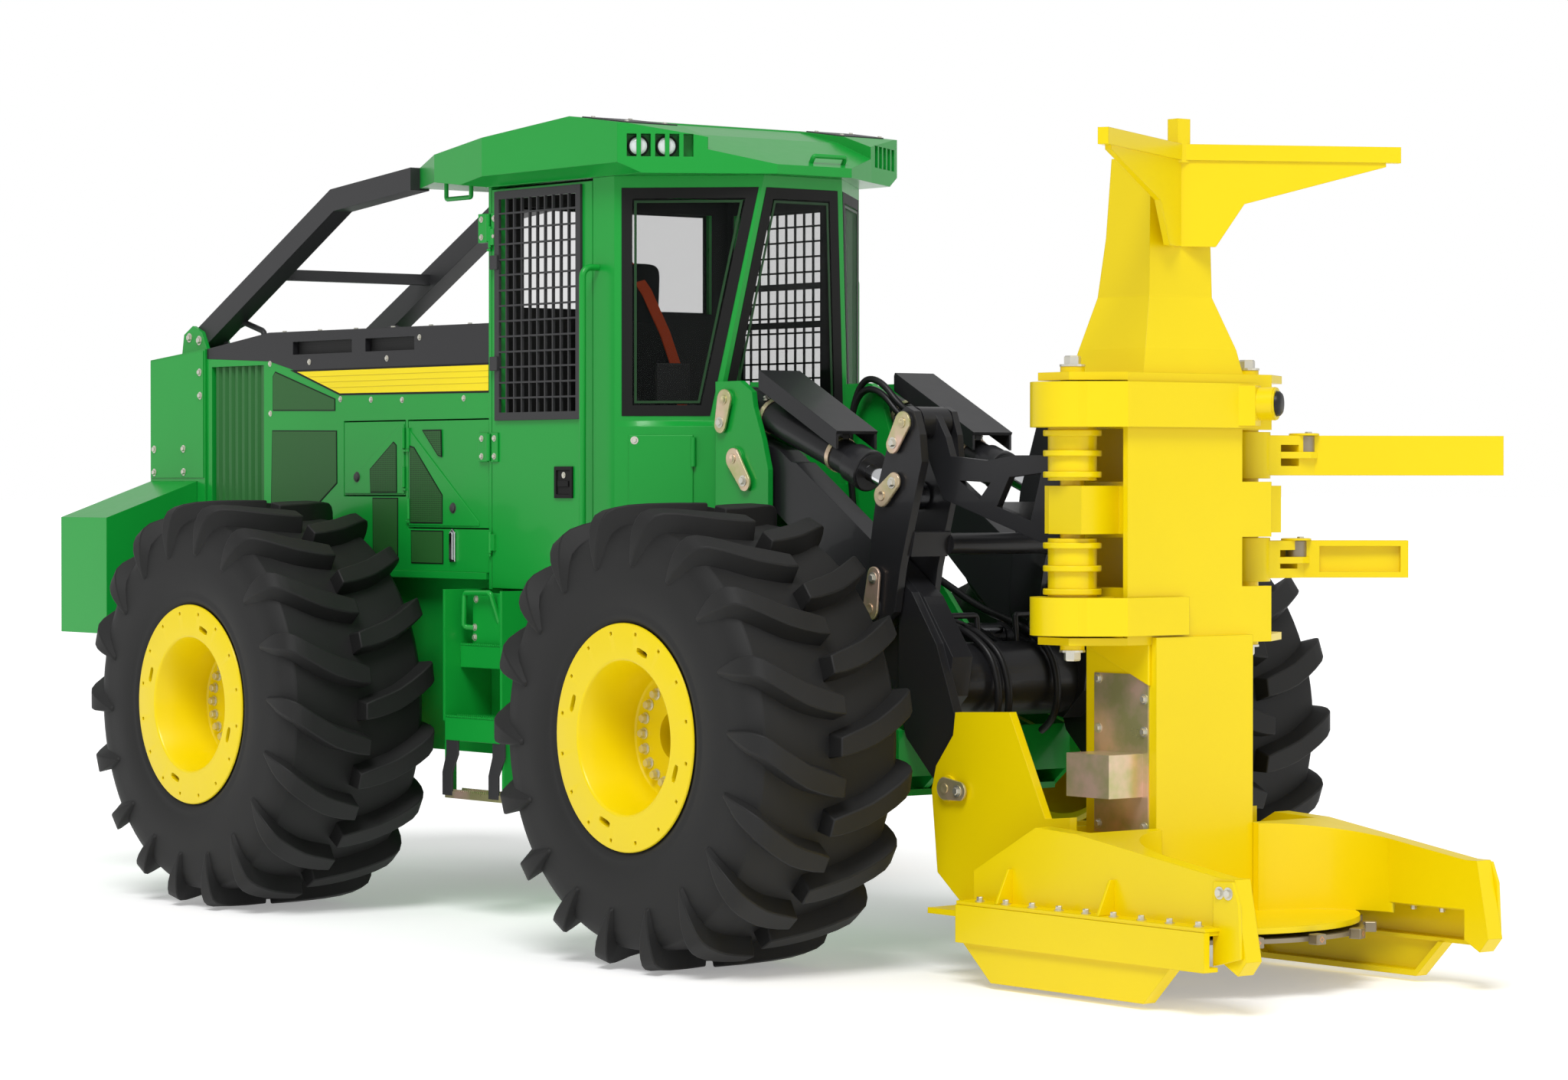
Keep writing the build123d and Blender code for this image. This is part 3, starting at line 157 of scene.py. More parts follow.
def surface(name, colour, roughness, metallic=0.0, coat=0.0, mottle=0.03, grain=22.0, bump=0.03,
            alpha=1.0, edge=0.0, holes=0.0, second=None, patch=1.7):
    """A finish whose colour and gloss vary a little.

    edge is the radius in metres that softens corners, holes the pitch in millimetres of a
    perforated sheet whose holes get a painted shade, second a colour that shows in patches, and
    patch the scale of the patches.
    """
    made = Finish(bpy.data.materials.new(name))
    shader = made.tree.nodes["Principled BSDF"]
    place = made.node("ShaderNodeTexCoord", output=3)
    patches = made.node("ShaderNodeTexNoise", values={"Vector": place, "Scale": patch, "Detail": 4.0})
    fine = made.node("ShaderNodeTexNoise", values={"Vector": place, "Scale": grain, "Detail": 2.0})
    darker = tuple(channel * (1 - 2 * mottle) for channel in colour) + (1,)
    paler = tuple(min(1.0, channel * (1 + mottle)) for channel in colour) + (1,)
    if second:
        spread = made.node("ShaderNodeValToRGB", {"stops": ((0.38, 0.0), (0.62, 1.0))}, {0: patches})
        shade = made.mix(spread, darker, second + (1,))
    else:
        shade = made.mix(patches, darker, paler)
    bumps = {"Strength": bump, "Distance": 0.002, "Height": fine}
    if holes:
        cells = made.node("ShaderNodeTexVoronoi", values={
            "Vector": place, "Scale": 1000 / holes, "Randomness": 0.0})
        punched = cells < 0.34
        # Painted shade: the holes are painted at a fifth of the sheet's colour, for the dark space seen
        # through them.
        shade = made.mix(punched, shade, tuple(channel * 0.2 for channel in colour) + (1,))
        bumps = {"Strength": 0.4, "Distance": 0.002, "Height": 1 - punched}
    if edge:
        bumps["Normal"] = made.node("ShaderNodeBevel", {"samples": 4}, {"Radius": edge})
    made.feed(shader.inputs["Base Color"], shade)
    made.feed(shader.inputs["Roughness"], 0.1 * patches + (roughness - 0.05) + (fine - 0.5) * 0.04)
    shader.inputs["Metallic"].default_value = metallic
    shader.inputs["Coat Weight"].default_value = coat
    shader.inputs["Coat Roughness"].default_value = 0.06
    shader.inputs["Specular IOR Level"].default_value = 0.3
    made.feed(shader.inputs["Normal"], made.node("ShaderNodeBump", values=bumps))
    if alpha < 1:
        shader.inputs["Alpha"].default_value = alpha
    return made.owner


green_paint = surface("green_paint", (0.006, 0.33, 0.038), 0.3, coat=0.1, edge=0.004)
screen_green = surface("screen_green", (0.02, 0.115, 0.022), 0.5, holes=9.0)
grille_green = surface("grille_green", (0.022, 0.15, 0.03), 0.45, edge=0.003)
yellow_paint = surface("yellow_paint", (0.85, 0.65, 0.0), 0.32, coat=0.06, edge=0.004)
stripe_yellow = surface("stripe_yellow", (1.0, 0.78, 0.0), 0.35)
black_paint = surface("black_paint", (0.016, 0.016, 0.018), 0.36, coat=0.1, edge=0.004)
guard_paint = surface("guard_paint", (0.034, 0.034, 0.036), 0.45, edge=0.003)
black_screen = surface("black_screen", (0.02, 0.02, 0.02), 0.6, holes=10.0)
cast_iron = surface("cast_iron", (0.05, 0.05, 0.05), 0.6, bump=0.3)
chrome = surface("chrome", (0.75, 0.76, 0.78), 0.12, metallic=1.0, mottle=0.02)
gold_zinc = surface("gold_zinc", (0.56, 0.55, 0.26), 0.3, metallic=0.7, mottle=0.05, edge=0.002,
                    second=(0.8, 0.58, 0.46), patch=7.0)
bolt_zinc = surface("bolt_zinc", (0.72, 0.7, 0.62), 0.3, metallic=0.8, mottle=0.1)
pane = surface("pane", (0.006, 0.009, 0.008), 0.04, alpha=0.14, bump=0.0)
seal = surface("seal", (0.001, 0.001, 0.001), 0.6)
green_line = surface("green_line", (0.008, 0.05, 0.012), 0.4)
trim = surface("trim", (0.004, 0.004, 0.004), 0.6, grain=120.0, bump=0.03)
cloth = surface("cloth", (0.008, 0.008, 0.009), 0.9, grain=420.0, bump=0.12)
belt_orange = surface("belt_orange", (0.9, 0.1, 0.015), 0.7, grain=500.0, bump=0.4)
hose_rubber = surface("hose_rubber", (0.012, 0.012, 0.013), 0.4, grain=90.0, bump=0.1)
lamp_glass = surface("lamp_glass", (0.85, 0.87, 0.9), 0.15, coat=0.8)
worn_steel = surface("worn_steel", (0.33, 0.28, 0.2), 0.4, metallic=0.8, mottle=0.2)
braze = surface("braze", (0.6, 0.3, 0.14), 0.4, metallic=0.7)

finishes = (
    (green_paint, ("rear_chassis", "rear_bumper", "rear_housing", "hood", "cab_shell", "cab_roof", "cab_door",
                   "front_chassis", "engine_door_middle_right", "engine_door_front_right",
                   "engine_door_middle_left", "engine_door_front_left", "front_axle", "rear_axle",
                   "steps", "handrails")),
    (grille_green, ("side_grilles",)),
    (black_paint, ("hood_top", "boom", "rocker", "tilt_link", "tilt_barrels", "lift_barrels")),
    (guard_paint, ("brush_guards", "door_guard")),
    (yellow_paint, ("head_ears", "head_column", "head_top", "saw_housing", "skids", "arm_right_upper",
                    "arm_right_lower", "arm_left_upper", "arm_left_lower")),
    (cast_iron, ("engine_block",)),
    (cloth, ("seat", "seat_back")),
    (pane, ("cab_glass",)),
    (chrome, ("tilt_rods", "lift_rods")),
    (worn_steel, ("saw_disc",)),
    (gold_zinc, ("column_covers",)),
)
for paint, names in finishes:
    for name in names:
        nodes[name].data.materials.clear()
        nodes[name].data.materials.append(paint)


# Tyres: forestry tyres with deep chevron lugs, whose centre ends lead at the top. Each lug is a
# tapered bar over the crown that turns down the side wall. Black rubber, dull and a little dusty.
pivot = -398.0                       # articulation pin, in millimetres from the middle of the machine
right_and_left = (-1, 1)
half_track = 1104.0
axle_height = 890.0
corners = (("front_right", 1590.0, -1), ("front_left", 1590.0, 1), ("rear_right", -1590.0, -1),
           ("rear_left", -1590.0, 1))
lug_pitch = math.radians(20)
crown_radius = 860.0                 # where the shift and width of a lug are measured


def at(x, y, z):
    """Place from the articulation pin, in millimetres."""
    return Vector((pivot + x, y, z))


def build(name, points, faces, finish, smooth=None):
    """Mesh object from points in millimetres; smooth is the angle up to which edges are soft."""
    mesh = bpy.data.meshes.new(name)
    mesh.from_pydata([Vector(point) / 1000 for point in points], [], faces)
    piece = bpy.data.objects.new(name, mesh)
    bpy.context.collection.objects.link(piece)
    work = bmesh.new()
    work.from_mesh(mesh)
    bmesh.ops.recalc_face_normals(work, faces=work.faces)
    for face in work.faces:
        face.smooth = smooth is not None
    if smooth is not None:
        for edge in work.edges:
            edge.smooth = len(edge.link_faces) == 2 and edge.calc_face_angle(0) < math.radians(smooth)
    work.to_mesh(mesh)
    work.free()
    mesh.materials.append(finish)
    return piece


def lathe(profile, steps, closed=False):
    """Points and faces of a profile of (across, radius) turned round the wheel's axis."""
    points = []
    for step in range(steps):
        turn = 2 * math.pi * step / steps
        points += [(radius * math.sin(turn), across, radius * math.cos(turn)) for across, radius in profile]
    faces = []
    rows = len(profile)
    for step in range(steps):
        near, far = step * rows, (step + 1) % steps * rows
        for row in range(rows if closed else rows - 1):
            after = (row + 1) % rows
            faces.append((near + row, near + after, far + after, far + row))
    return points, faces


rubber = Finish(bpy.data.materials.new("rubber"))
rubber_place = rubber.node("ShaderNodeTexCoord", output=3)
rubber_dust = rubber.node("ShaderNodeTexNoise", values={"Vector": rubber_place, "Scale": 3.0, "Detail": 8.0})
rubber_pores = rubber.node("ShaderNodeTexNoise", values={
    "Vector": rubber_place, "Scale": 260.0, "Detail": 3.0})
rubber_shader = rubber.tree.nodes["Principled BSDF"]
rubber.feed(rubber_shader.inputs["Base Color"],
            rubber.mix(rubber_dust, (0.005, 0.005, 0.005, 1), (0.018, 0.018, 0.018, 1)))
rubber.feed(rubber_shader.inputs["Roughness"], 0.5 + 0.25 * rubber_dust)
rubber_shader.inputs["Specular IOR Level"].default_value = 0.3
rubber.feed(rubber_shader.inputs["Normal"], rubber.node("ShaderNodeBump", values={
    "Strength": 0.12, "Distance": 0.002, "Height": rubber_pores}))

# Carcass as across from the middle and radius, then stations along a lug: top across and radius,
# base across and radius, shift behind its centre end, and half widths at top and base
carcass = ((333, 407), (343, 440), (353, 452), (357, 470), (355, 484), (360, 500), (366, 560), (366, 610),
           (362, 650), (360, 690), (355, 735), (340, 775), (310, 803), (250, 812), (120, 814), (0, 814))
lug_stations = (
    (-16, 889, -16, 800, 6, 34, 52), (40, 889, 40, 800, -6, 40, 58), (100, 889, 100, 800, -22, 42, 60),
    (160, 888, 160, 800, -42, 43, 62), (220, 887, 215, 800, -72, 44, 64), (280, 884, 268, 798, -106, 44, 64),
    (325, 877, 305, 792, -134, 44, 63), (352, 862, 322, 776, -152, 43, 60),
    (368, 835, 335, 750, -164, 41, 57), (377, 800, 345, 725, -174, 38, 52),
    (381, 760, 350, 700, -184, 31, 44), (380, 715, 354, 680, -196, 20, 34), (374, 660, 358, 648, -212, 6, 18))
for side in right_and_left:
    inner_half = [(-side * across, radius) for across, radius in reversed(carcass[:-1])]
    points, faces = lathe([(side * across, radius) for across, radius in carcass] + inner_half, 90)
    for half in (1, -1):
        for lug in range(18):
            middle = (lug + (0 if half > 0 else 0.5)) * lug_pitch
            first = len(points)
            for top_a, top_r, base_a, base_r, shift, top_half, base_half in lug_stations:
                for across, radius, width in ((top_a, top_r, top_half), (top_a, top_r, -top_half),
                                              (base_a, base_r, -base_half), (base_a, base_r, base_half)):
                    turn = middle + (shift + width) / crown_radius
                    points.append((radius * math.sin(turn), side * half * across, radius * math.cos(turn)))
            last = first + 4 * (len(lug_stations) - 1)
            for station in range(first, last, 4):
                for edge in range(4):
                    after = (edge + 1) % 4
                    faces.append((station + edge, station + after, station + 4 + after, station + 4 + edge))
            faces.append((first, first + 1, first + 2, first + 3))
            faces.append((last, last + 1, last + 2, last + 3))
    pattern = build("tyre_pattern", points, faces, rubber.owner, smooth=32)
    rounding = pattern.modifiers.new("rounding", "BEVEL")
    rounding.width = 0.006
    rounding.segments = 2
    rounding.limit_method = "ANGLE"
    rounding.angle_limit = math.radians(34)
    shape = bpy.data.meshes.new_from_object(pattern.evaluated_get(bpy.context.evaluated_depsgraph_get()))
    bpy.data.objects.remove(pattern)
    for corner, axle_x, corner_side in corners:
        if corner_side == side:
            tyre = bpy.data.objects.new("rubber_" + corner, shape)
            tyre.location = at(axle_x, side * half_track, axle_height) / 1000
            bpy.context.collection.objects.link(tyre)
            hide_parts("tyre_" + corner)
            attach(tyre, "wheel_" + corner)

# Wheels: welded steel rims in yellow enamel, a flat ring with slots and holes round a deep dish,
# and a ring of wheel nuts on the bolt plate.
flange = 358.0
rim_profile = (
    (-350, 185), (90, 185), (90, 262), (324, 314), (324, 390), (-340, 390), (-358, 415), (-358, 435),
    (-344, 435), (-334, 406), (334, 406), (340, 414), (344, 430), (350, 435), (356, 432), (358, 424),
    (358, 300), (355, 294), (348, 289), (122, 246), (116, 240), (114, 232), (114, 92), (-350, 92))


def joined(*shapes):
    """One list of points and faces from several."""
    points, faces = [], []
    for more_points, more_faces in shapes:
        first = len(points)
        points += more_points
        faces += [tuple(first + index for index in face) for face in more_faces]
    return points, faces


def turned(profile, places, sides=24, closed=False, base=True):
    """Rings of a profile of (radius, height) turned round the direction of each place."""
    points, faces = [], []
    for place, direction in places:
        turn = Vector(direction).to_track_quat("Z", "X")
        first = len(points)
        for radius, height in profile:
            for index in range(sides):
                angle = 2 * math.pi * index / sides
                ring = Vector((radius * math.cos(angle), radius * math.sin(angle), height))
                points.append(place + turn @ ring)
        rows = len(profile)
        for row in range(rows if closed else rows - 1):
            low, high = first + row * sides, first + (row + 1) % rows * sides
            for index in range(sides):
                after = (index + 1) % sides
                faces.append((low + index, low + after, high + after, high + index))
        if not closed:
            ends = (0, rows - 1) if base else (rows - 1,)
            faces += [tuple(range(first + row * sides, first + (row + 1) * sides)) for row in ends]
    return points, faces


def fit(name, shape, finish, body, soft=None, edge=0.0):
    """Adds a piece; soft is the angle of soft edges, edge the width of a bevel in metres."""
    piece = build(name, *shape, finish, soft)
    if edge:
        bevel = piece.modifiers.new("edges", "BEVEL")
        bevel.width = edge
        bevel.segments = 2
        bevel.limit_method = "ANGLE"
    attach(piece, body)
    return piece


slots = [(math.pi / 2 * index + 0.35, 345, 34, 12) for index in range(4)]
holes = [(2 * math.pi * (index + 0.5) / 16, 400, 7, 7) for index in range(16)]
nut_radius, nut_height = 17, 26
nut_profile = ((nut_radius, 0), (nut_radius, 0.85 * nut_height), (0.86 * nut_radius, nut_height))
washer_profile = tuple((1.35 * radius, 0.2 * height) for radius, height in nut_profile)
for corner, axle_x, side in corners:
    hub = at(axle_x, side * half_track, axle_height)
    points, faces = lathe([(side * a, r) for a, r in rim_profile], 96, closed=True)
    rim = build("wheel_" + corner, [hub + Vector(point) for point in points], faces, yellow_paint, smooth=25)
    hole_points, hole_faces = [], []
    for turn, radius, half_long, half_high in slots + holes:
        out = Vector((math.sin(turn), 0, math.cos(turn)))
        round_way = Vector((math.cos(turn), 0, -math.sin(turn)))
        first = len(hole_points)
        for across in (flange - 60, flange + 20):
            for index in range(12):
                angle = 2 * math.pi * index / 12
                x = half_long * max(-1, min(1, 1.25 * math.cos(angle)))
                z = half_high * max(-1, min(1, 1.25 * math.sin(angle)))
                hole_points.append(hub + Vector((0, side * across, 0)) + out * (radius + z) + round_way * x)
        for index in range(12):
            after = (index + 1) % 12
            hole_faces.append((first + index, first + after, first + 12 + after, first + 12 + index))
        hole_faces += [tuple(range(first, first + 12)), tuple(range(first + 12, first + 24))]
    punch = build("punch", hole_points, hole_faces, yellow_paint)
    cut = rim.modifiers.new("cut", "BOOLEAN")
    cut.operation = "DIFFERENCE"
    cut.solver = "EXACT"
    cut.object = punch
    rim.data = bpy.data.meshes.new_from_object(rim.evaluated_get(bpy.context.evaluated_depsgraph_get()))
    rim.modifiers.clear()
    bpy.data.objects.remove(punch)
    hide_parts("rim_" + corner)
    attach(rim, "wheel_" + corner)
    places = []
    for index in range(20):
        turn = 2 * math.pi * index / 20
        places.append((hub + Vector((190 * math.sin(turn), side * 114, 190 * math.cos(turn))), (0, side, 0)))
    washers, nuts = turned(washer_profile, places, 16, base=False), turned(nut_profile, places, 6, base=False)
    fit("wheel_nuts_" + corner, joined(washers, nuts), bolt_zinc, "wheel_" + corner)

# Rear end: bolted covers on the radiator housing, bracket bolts of the guard bars, and a bent
# tube handle over the fan. Pressed and welded plate, with zinc-plated bolts.


def prism(outline, origin, u_dir, v_dir, depth, hole=None):
    """Plate with an outline of (u, v), as thick as depth along u x v; hole is a like outline."""
    u_dir, v_dir = Vector(u_dir).normalized(), Vector(v_dir).normalized()
    normal = u_dir.cross(v_dir)
    rings = [outline] if hole is None else [outline, hole]
    points = [origin + u_dir * u + v_dir * v + normal * level
              for level in (0, depth) for ring in rings for u, v in ring]
    count, level_step = len(outline), len(points) // 2
    faces = []
    for ring in range(len(rings)):
        for index in range(count):
            a, b = ring * count + index, ring * count + (index + 1) % count
            faces.append((a, b, b + level_step, a + level_step))
    if hole is None:
        faces += [tuple(range(count)), tuple(range(level_step, level_step + count))]
    else:
        for low in (0, level_step):
            for index in range(count):
                after = (index + 1) % count
                faces.append((low + index, low + after, low + count + after, low + count + index))
    return points, faces


def upright(outline, y, depth, hole=None):
    """Plate in x and z whose inner face is at y; it grows away from the centreline."""
    to_right = -1 if y > 0 else 1
    return prism(outline, at(0, y, 0), (1, 0, 0), (0, 0, 1), to_right * depth, hole)


def box(low_u, high_u, low_v, high_v):
    """Outline of an upright rectangle."""
    return [(low_u, low_v), (high_u, low_v), (high_u, high_v), (low_u, high_v)]


def outward(places, y):
    """Places of (x, z) on both sides, y from the centreline, each with the way out."""
    return [(at(x, side * y, z), (0, side, 0)) for x, z in places for side in right_and_left]


def grown(outline, amount):
    """Outline whose edges are moved out by an amount, or in by a negative one."""
    area = sum(a[0] * b[1] - b[0] * a[1] for a, b in zip(outline, outline[1:] + outline[:1]))
    amount = amount if area > 0 else -amount
    moved = []
    for index, corner in enumerate(outline):
        before, after = outline[index - 1], outline[(index + 1) % len(outline)]
        first = Vector((corner[0] - before[0], corner[1] - before[1])).normalized()
        second = Vector((after[0] - corner[0], after[1] - corner[1])).normalized()
        out = Vector((first.y + second.y, -first.x - second.x)) / (1 + first.dot(second))
        moved.append((corner[0] + amount * out.x, corner[1] + amount * out.y))
    return moved


def bolts(name, places, radius, height, body):
    """Hexagon bolts on washers, in bright zinc."""
    washer = ((1.5 * radius, 0), (1.5 * radius, 0.2 * height))
    head = ((radius, 0), (radius, 0.85 * height), (0.86 * radius, height))
    shape = joined(turned(washer, places, 18), turned(head, places, 6))
    return fit(name, shape, bolt_zinc, body)


def tubes(name, routes, radius, finish, body, bend=0.0):
    """Round tubes along routes of places; bend rounds the corners of a rigid tube."""
    line = bpy.data.curves.new(name, "CURVE")
    line.dimensions = "3D"
    line.bevel_depth = radius / 1000
    line.bevel_resolution = 3
    line.resolution_u = 8
    line.use_fill_caps = True
    for route in routes:
        stops = [route[0]]
        for before, corner, after in zip(route, route[1:], route[2:]):
            if bend:
                stops += [corner + (before - corner).normalized() * bend, corner,
                          corner + (after - corner).normalized() * bend]
            else:
                stops.append(corner)
        stops.append(route[-1])
        spline = line.splines.new("NURBS")
        spline.points.add(len(stops) - 1)
        for point, stop in zip(spline.points, stops):
            point.co = (*(stop / 1000), 1)
        spline.order_u = 3
        spline.use_endpoint_u = True
    curve = bpy.data.objects.new(name + "_line", line)
    bpy.context.collection.objects.link(curve)
    shape = bpy.data.meshes.new_from_object(curve.evaluated_get(bpy.context.evaluated_depsgraph_get()))
    bpy.data.objects.remove(curve)
    shape.materials.clear()
    shape.materials.append(finish)
    piece = bpy.data.objects.new(name, shape)
    bpy.context.collection.objects.link(piece)
    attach(piece, body)
    return piece


housing_bolts = ((-3265, 2014), (-2995, 2015), (-3265, 1904), (-2993, 1906), (-2847, 2373), (-2843, 2263))
panel_edge = [(-3300, 1878), (-2816, 1878), (-2816, 2473), (-3300, 2432)]
fit("housing_panels", joined(*[upright(panel_edge, side * 650, 4) for side in right_and_left]),
    green_paint, "rear")
bolts("housing_bolts", outward(housing_bolts, 654), 12, 11, "rear")
bolts("guard_bolts", outward(((-3140, 2545), (-3050, 2530)), 534), 15, 12, "rear")
tubes("hood_handle", [[at(-2975, side * 420, 2455), at(-3010, side * 420, 2560), at(-2824, side * 420, 2610),
                       at(-2655, side * 420, 2565), at(-2640, side * 420, 2492)] for side in right_and_left],
      14, guard_paint, "rear", bend=40)

# Hood: sheet steel sides in green with a black-edged yellow band below the black top, which bolts
# down along its edges. Perforated screens are let into the sides, with rubber edging round them.
hood_side = 640.0
band = [(-2010, 2358), (-1654, 2255), (-486, 2248), (-486, 2358)]
band_slant = 3.4                     # run of the band's rear edge for each unit that it drops
edging, stripe, lines = [], [], []
for side in right_and_left:
    edging.append(upright(grown(band, 9), side * hood_side, 1.5))
    stripe.append(upright(band, side * (hood_side + 1.5), 1))
    for drop in (26, 52, 78):
        z, start = band[0][1] - drop, band[0][0] + 12 + band_slant * drop
        line = [(start, z), (-486, z), (-486, z + 3), (start - 8, z + 3)]
        lines.append(upright(line, side * (hood_side + 2.5), 0.6))
fit("band_edging", joined(*edging), seal, "rear")
fit("band", joined(*stripe), stripe_yellow, "rear")
fit("band_lines", joined(*lines), yellow_paint, "rear")

# Outlines of the screens that stay with the hood; each gets a black edge and a green sheet
hood_screens = (
    [(-2216, 2189), (-1699, 2182), (-1699, 2228), (-2198, 2358), (-2216, 2340)],
    [(-2233, 1740), (-1875, 1740), (-1683, 1855), (-1686, 2084), (-2221, 2090)],
    [(-1381, 1507), (-1191, 1507), (-1191, 1784), (-1384, 1784)],
    [(-1076, 1507), (-837, 1507), (-837, 1642), (-1078, 1642)])
rims, sheets = [], []
for side in right_and_left:
    for outline in hood_screens:
        rims.append(upright(grown(outline, 5), side * hood_side, 2))
        sheets.append(upright(outline, side * (hood_side + 2), 1))
fit("screen_rims", joined(*rims), seal, "rear")
fit("screens", joined(*sheets), screen_green, "rear")
vent_sheet = box(-2062, -1045, 2425, 2504)
fit("vent_screens", joined(*[upright(vent_sheet, side * (hood_side - 36), 3) for side in right_and_left]),
    black_screen, "rear")
side_bolts = ((-2246, 2400), (-2243, 2172), (-1911, 2401), (-1275, 2403), (-1016, 2489), (-1652, 2229),
              (-1402, 2223), (-1153, 2218), (-675, 2218))
bolts("hood_bolts", outward(side_bolts, hood_side), 9, 7, "rear")
top_bolts = [(at(x, side * 590, 2543 - (x + 2255) * 0.004), (0, 0, 1))
             for x in (-2200, -1900, -1600, -1300, -1000, -700) for side in right_and_left]
bolts("hood_top_bolts", top_bolts, 10, 8, "rear")
catch = [(-775, 1512), (-731, 1512), (-731, 1640), (-753, 1656), (-775, 1640)]
catches = [upright(catch, side * hood_side, 10) for side in right_and_left]
catches += [upright(grown(catch, -9), side * (hood_side + 10), 8) for side in right_and_left]
fit("draw_catches", joined(*catches), chrome, "rear", edge=0.003)

# Engine doors: sheet steel with a raised diagonal fold, one or two perforated screens and a round
# turn latch. Everything here rides on its own door.
doors = (
    ("middle", (-1511, 1880), [(-1165, 2112), (-1134, 2112), (-1134, 1806), (-1610, 1806), (-1610, 1839)],
     [[(-1396, 1815), (-1193, 1815), (-1196, 2018), (-1216, 2030), (-1401, 1912)]]),
    ("front", (-752, 1745), [(-1099, 2092), (-1099, 1668), (-556, 1668), (-556, 1686)],
     [[(-1080, 1682), (-837, 1682), (-837, 1800), (-1055, 2006), (-1083, 2012)],
      [(-978, 2080), (-866, 1977), (-842, 1971), (-846, 2080)]]))
knob = ((24, 0), (24, 4), (18, 5), (18, 11), (15, 13))
for side_name, side in (("right", -1), ("left", 1)):
    for door_name, latch, fold, screens in doors:
        tail, body = f"{door_name}_{side_name}", f"door_{door_name}_{side_name}"
        fit("fold_" + tail, upright(fold, side * hood_side, 4), green_paint, body, edge=0.002)
        rims = [upright(grown(outline, 5), side * (hood_side + 4), 1.5) for outline in screens]
        fit("rims_" + tail, joined(*rims), seal, body)
        sheets = [upright(outline, side * (hood_side + 5.5), 1) for outline in screens]
        fit("screens_" + tail, joined(*sheets), screen_green, body)
        fit("latch_" + tail, turned(knob, [(at(latch[0], side * hood_side, latch[1]), (0, side, 0))]),
            cast_iron, body, soft=40)

# Cab glass: bonded panes with a wide black border printed inside the edge and a thin green line
# inside that. The panes themselves are the CAD node, tinted dark.
cab_side = 650.0
corner_x, sill, lintel = 433.0, 2108.0, 3112.0
low, high = sill + 20, lintel - 50
foot_run, head_run = math.hypot(287, 301), math.hypot(427, 445)
corner_pane = [(30, low), (foot_run - 22, low), (head_run - 22, high), (30, high)]
lean = Vector((140, 0, lintel - sill))
windscreen = [(-324, 20), (324, 20), (187, lean.length - 50), (-187, lean.length - 50)]
panes = [(corner_pane, at(corner_x, side * cab_side, 0), (427, -side * 445, 0), (0, 0, 1), -2 * side)
         for side in right_and_left]
panes.append((windscreen, at(720, 0, sill), (0, 1, 0), lean, 2))
borders, fine_lines = [], []
for edge, origin, across, up, thick in panes:
    borders.append(prism(edge, origin, across, up, thick, hole=grown(edge, -44)))
    fine_lines.append(prism(grown(edge, -52), origin, across, up, thick, hole=grown(edge, -62)))
fit("glass_borders", joined(*borders), seal, "rear")
fit("glass_lines", joined(*fine_lines), green_line, "rear")

# Window guards: welded wire mesh with two cross bars, in a flat frame over the left side window,
# and a plain frame round the rear one. Black enamelled steel, bolted to the cab wall.
wire = 4.0
mesh_rear, mesh_front = -386.0, 239.0
wires = [upright(box(x - wire, x + wire, 2108, 3042), cab_side + 2, 8)
         for x in [mesh_rear + 62.5 * index for index in range(11)]]
wires += [upright(box(mesh_rear, mesh_front, z - wire, z + wire), cab_side + 3, 8)
          for z in range(2112, 3037, 66)]
wires += [upright(box(mesh_rear, mesh_front, z - 14, z + 14), cab_side - 4, 10) for z in (2543, 2710)]
fit("window_mesh", joined(*wires), guard_paint, "rear")
left_frame, rear_frame = box(-396, 249, 2100, 3050), box(-530, 530, 2582, 3050)
frames = (upright(left_frame, cab_side, 14, hole=grown(left_frame, -24)),
          prism(rear_frame, at(-471, 0, 0), (0, 1, 0), (0, 0, 1), -10, hole=grown(rear_frame, -24)))
fit("window_frames", joined(*frames), guard_paint, "rear", edge=0.002)

# Cab inside: lining of dark moulded plastic on the walls, the floor and under the roof, a lever by
# each armrest, and a small screen on a post. Screwed to the cab's frame.
lining_low, lining_high = 1452, 3100
floor_edge = [(-420, -598), (400, -598), (640, -330), (640, 330), (400, 598), (-420, 598)]
roof_edge = [(-420, -598), (400, -598), (780, -200), (780, 200), (400, 598), (-420, 598)]
left_wall = upright(box(-420, 400, lining_low, lining_high), 598, 6, hole=box(-380, 233, 2116, 3034))
rear_wall = prism(box(-600, 600, lining_low, lining_high), at(-425, 0, 0), (0, 1, 0), (0, 0, 1), 6,
                  hole=box(-514, 514, 2598, 3034))
fit("cab_lining", joined(
    left_wall, rear_wall,
    prism(floor_edge, at(0, 0, 1446), (1, 0, 0), (0, 1, 0), 6),
    prism(roof_edge, at(0, 0, 3104), (1, 0, 0), (0, 1, 0), 6),
    prism(box(-300, 300, 1455, 2080), at(668, 0, 0), (0, 1, 0), (0, 0, 1), -6)), trim, "rear")
grip = ((34, 0), (26, 30), (12, 50), (12, 90), (26, 105), (32, 130), (26, 155), (10, 165))
fit("levers", turned(grip, [(at(50, side * 290, 2058), (0.15, 0, 1)) for side in right_and_left]),
    trim, "rear", soft=60)
screen_case = prism(box(-70, 70, 0, 170), at(400, -330, 2180), (0.5, 1, 0), (0, 0, 1), 30)
screen_post = turned(((14, 0), (14, 700)), [(at(410, -335, 1480), (0, 0, 1))])
fit("screen_box", joined(screen_case, screen_post), trim, "rear", edge=0.004)

# Seat: foam cushion and back under dark woven cloth, with sewn channels, on a steel pedestal with
# padded armrests, and a head restraint. The orange shoulder belt is woven webbing that hangs from
# the rear wall and lies across the back.


def bent(value, power):
    """The value's size raised to a power, with its sign kept."""
    return math.copysign(abs(value) ** power, value)


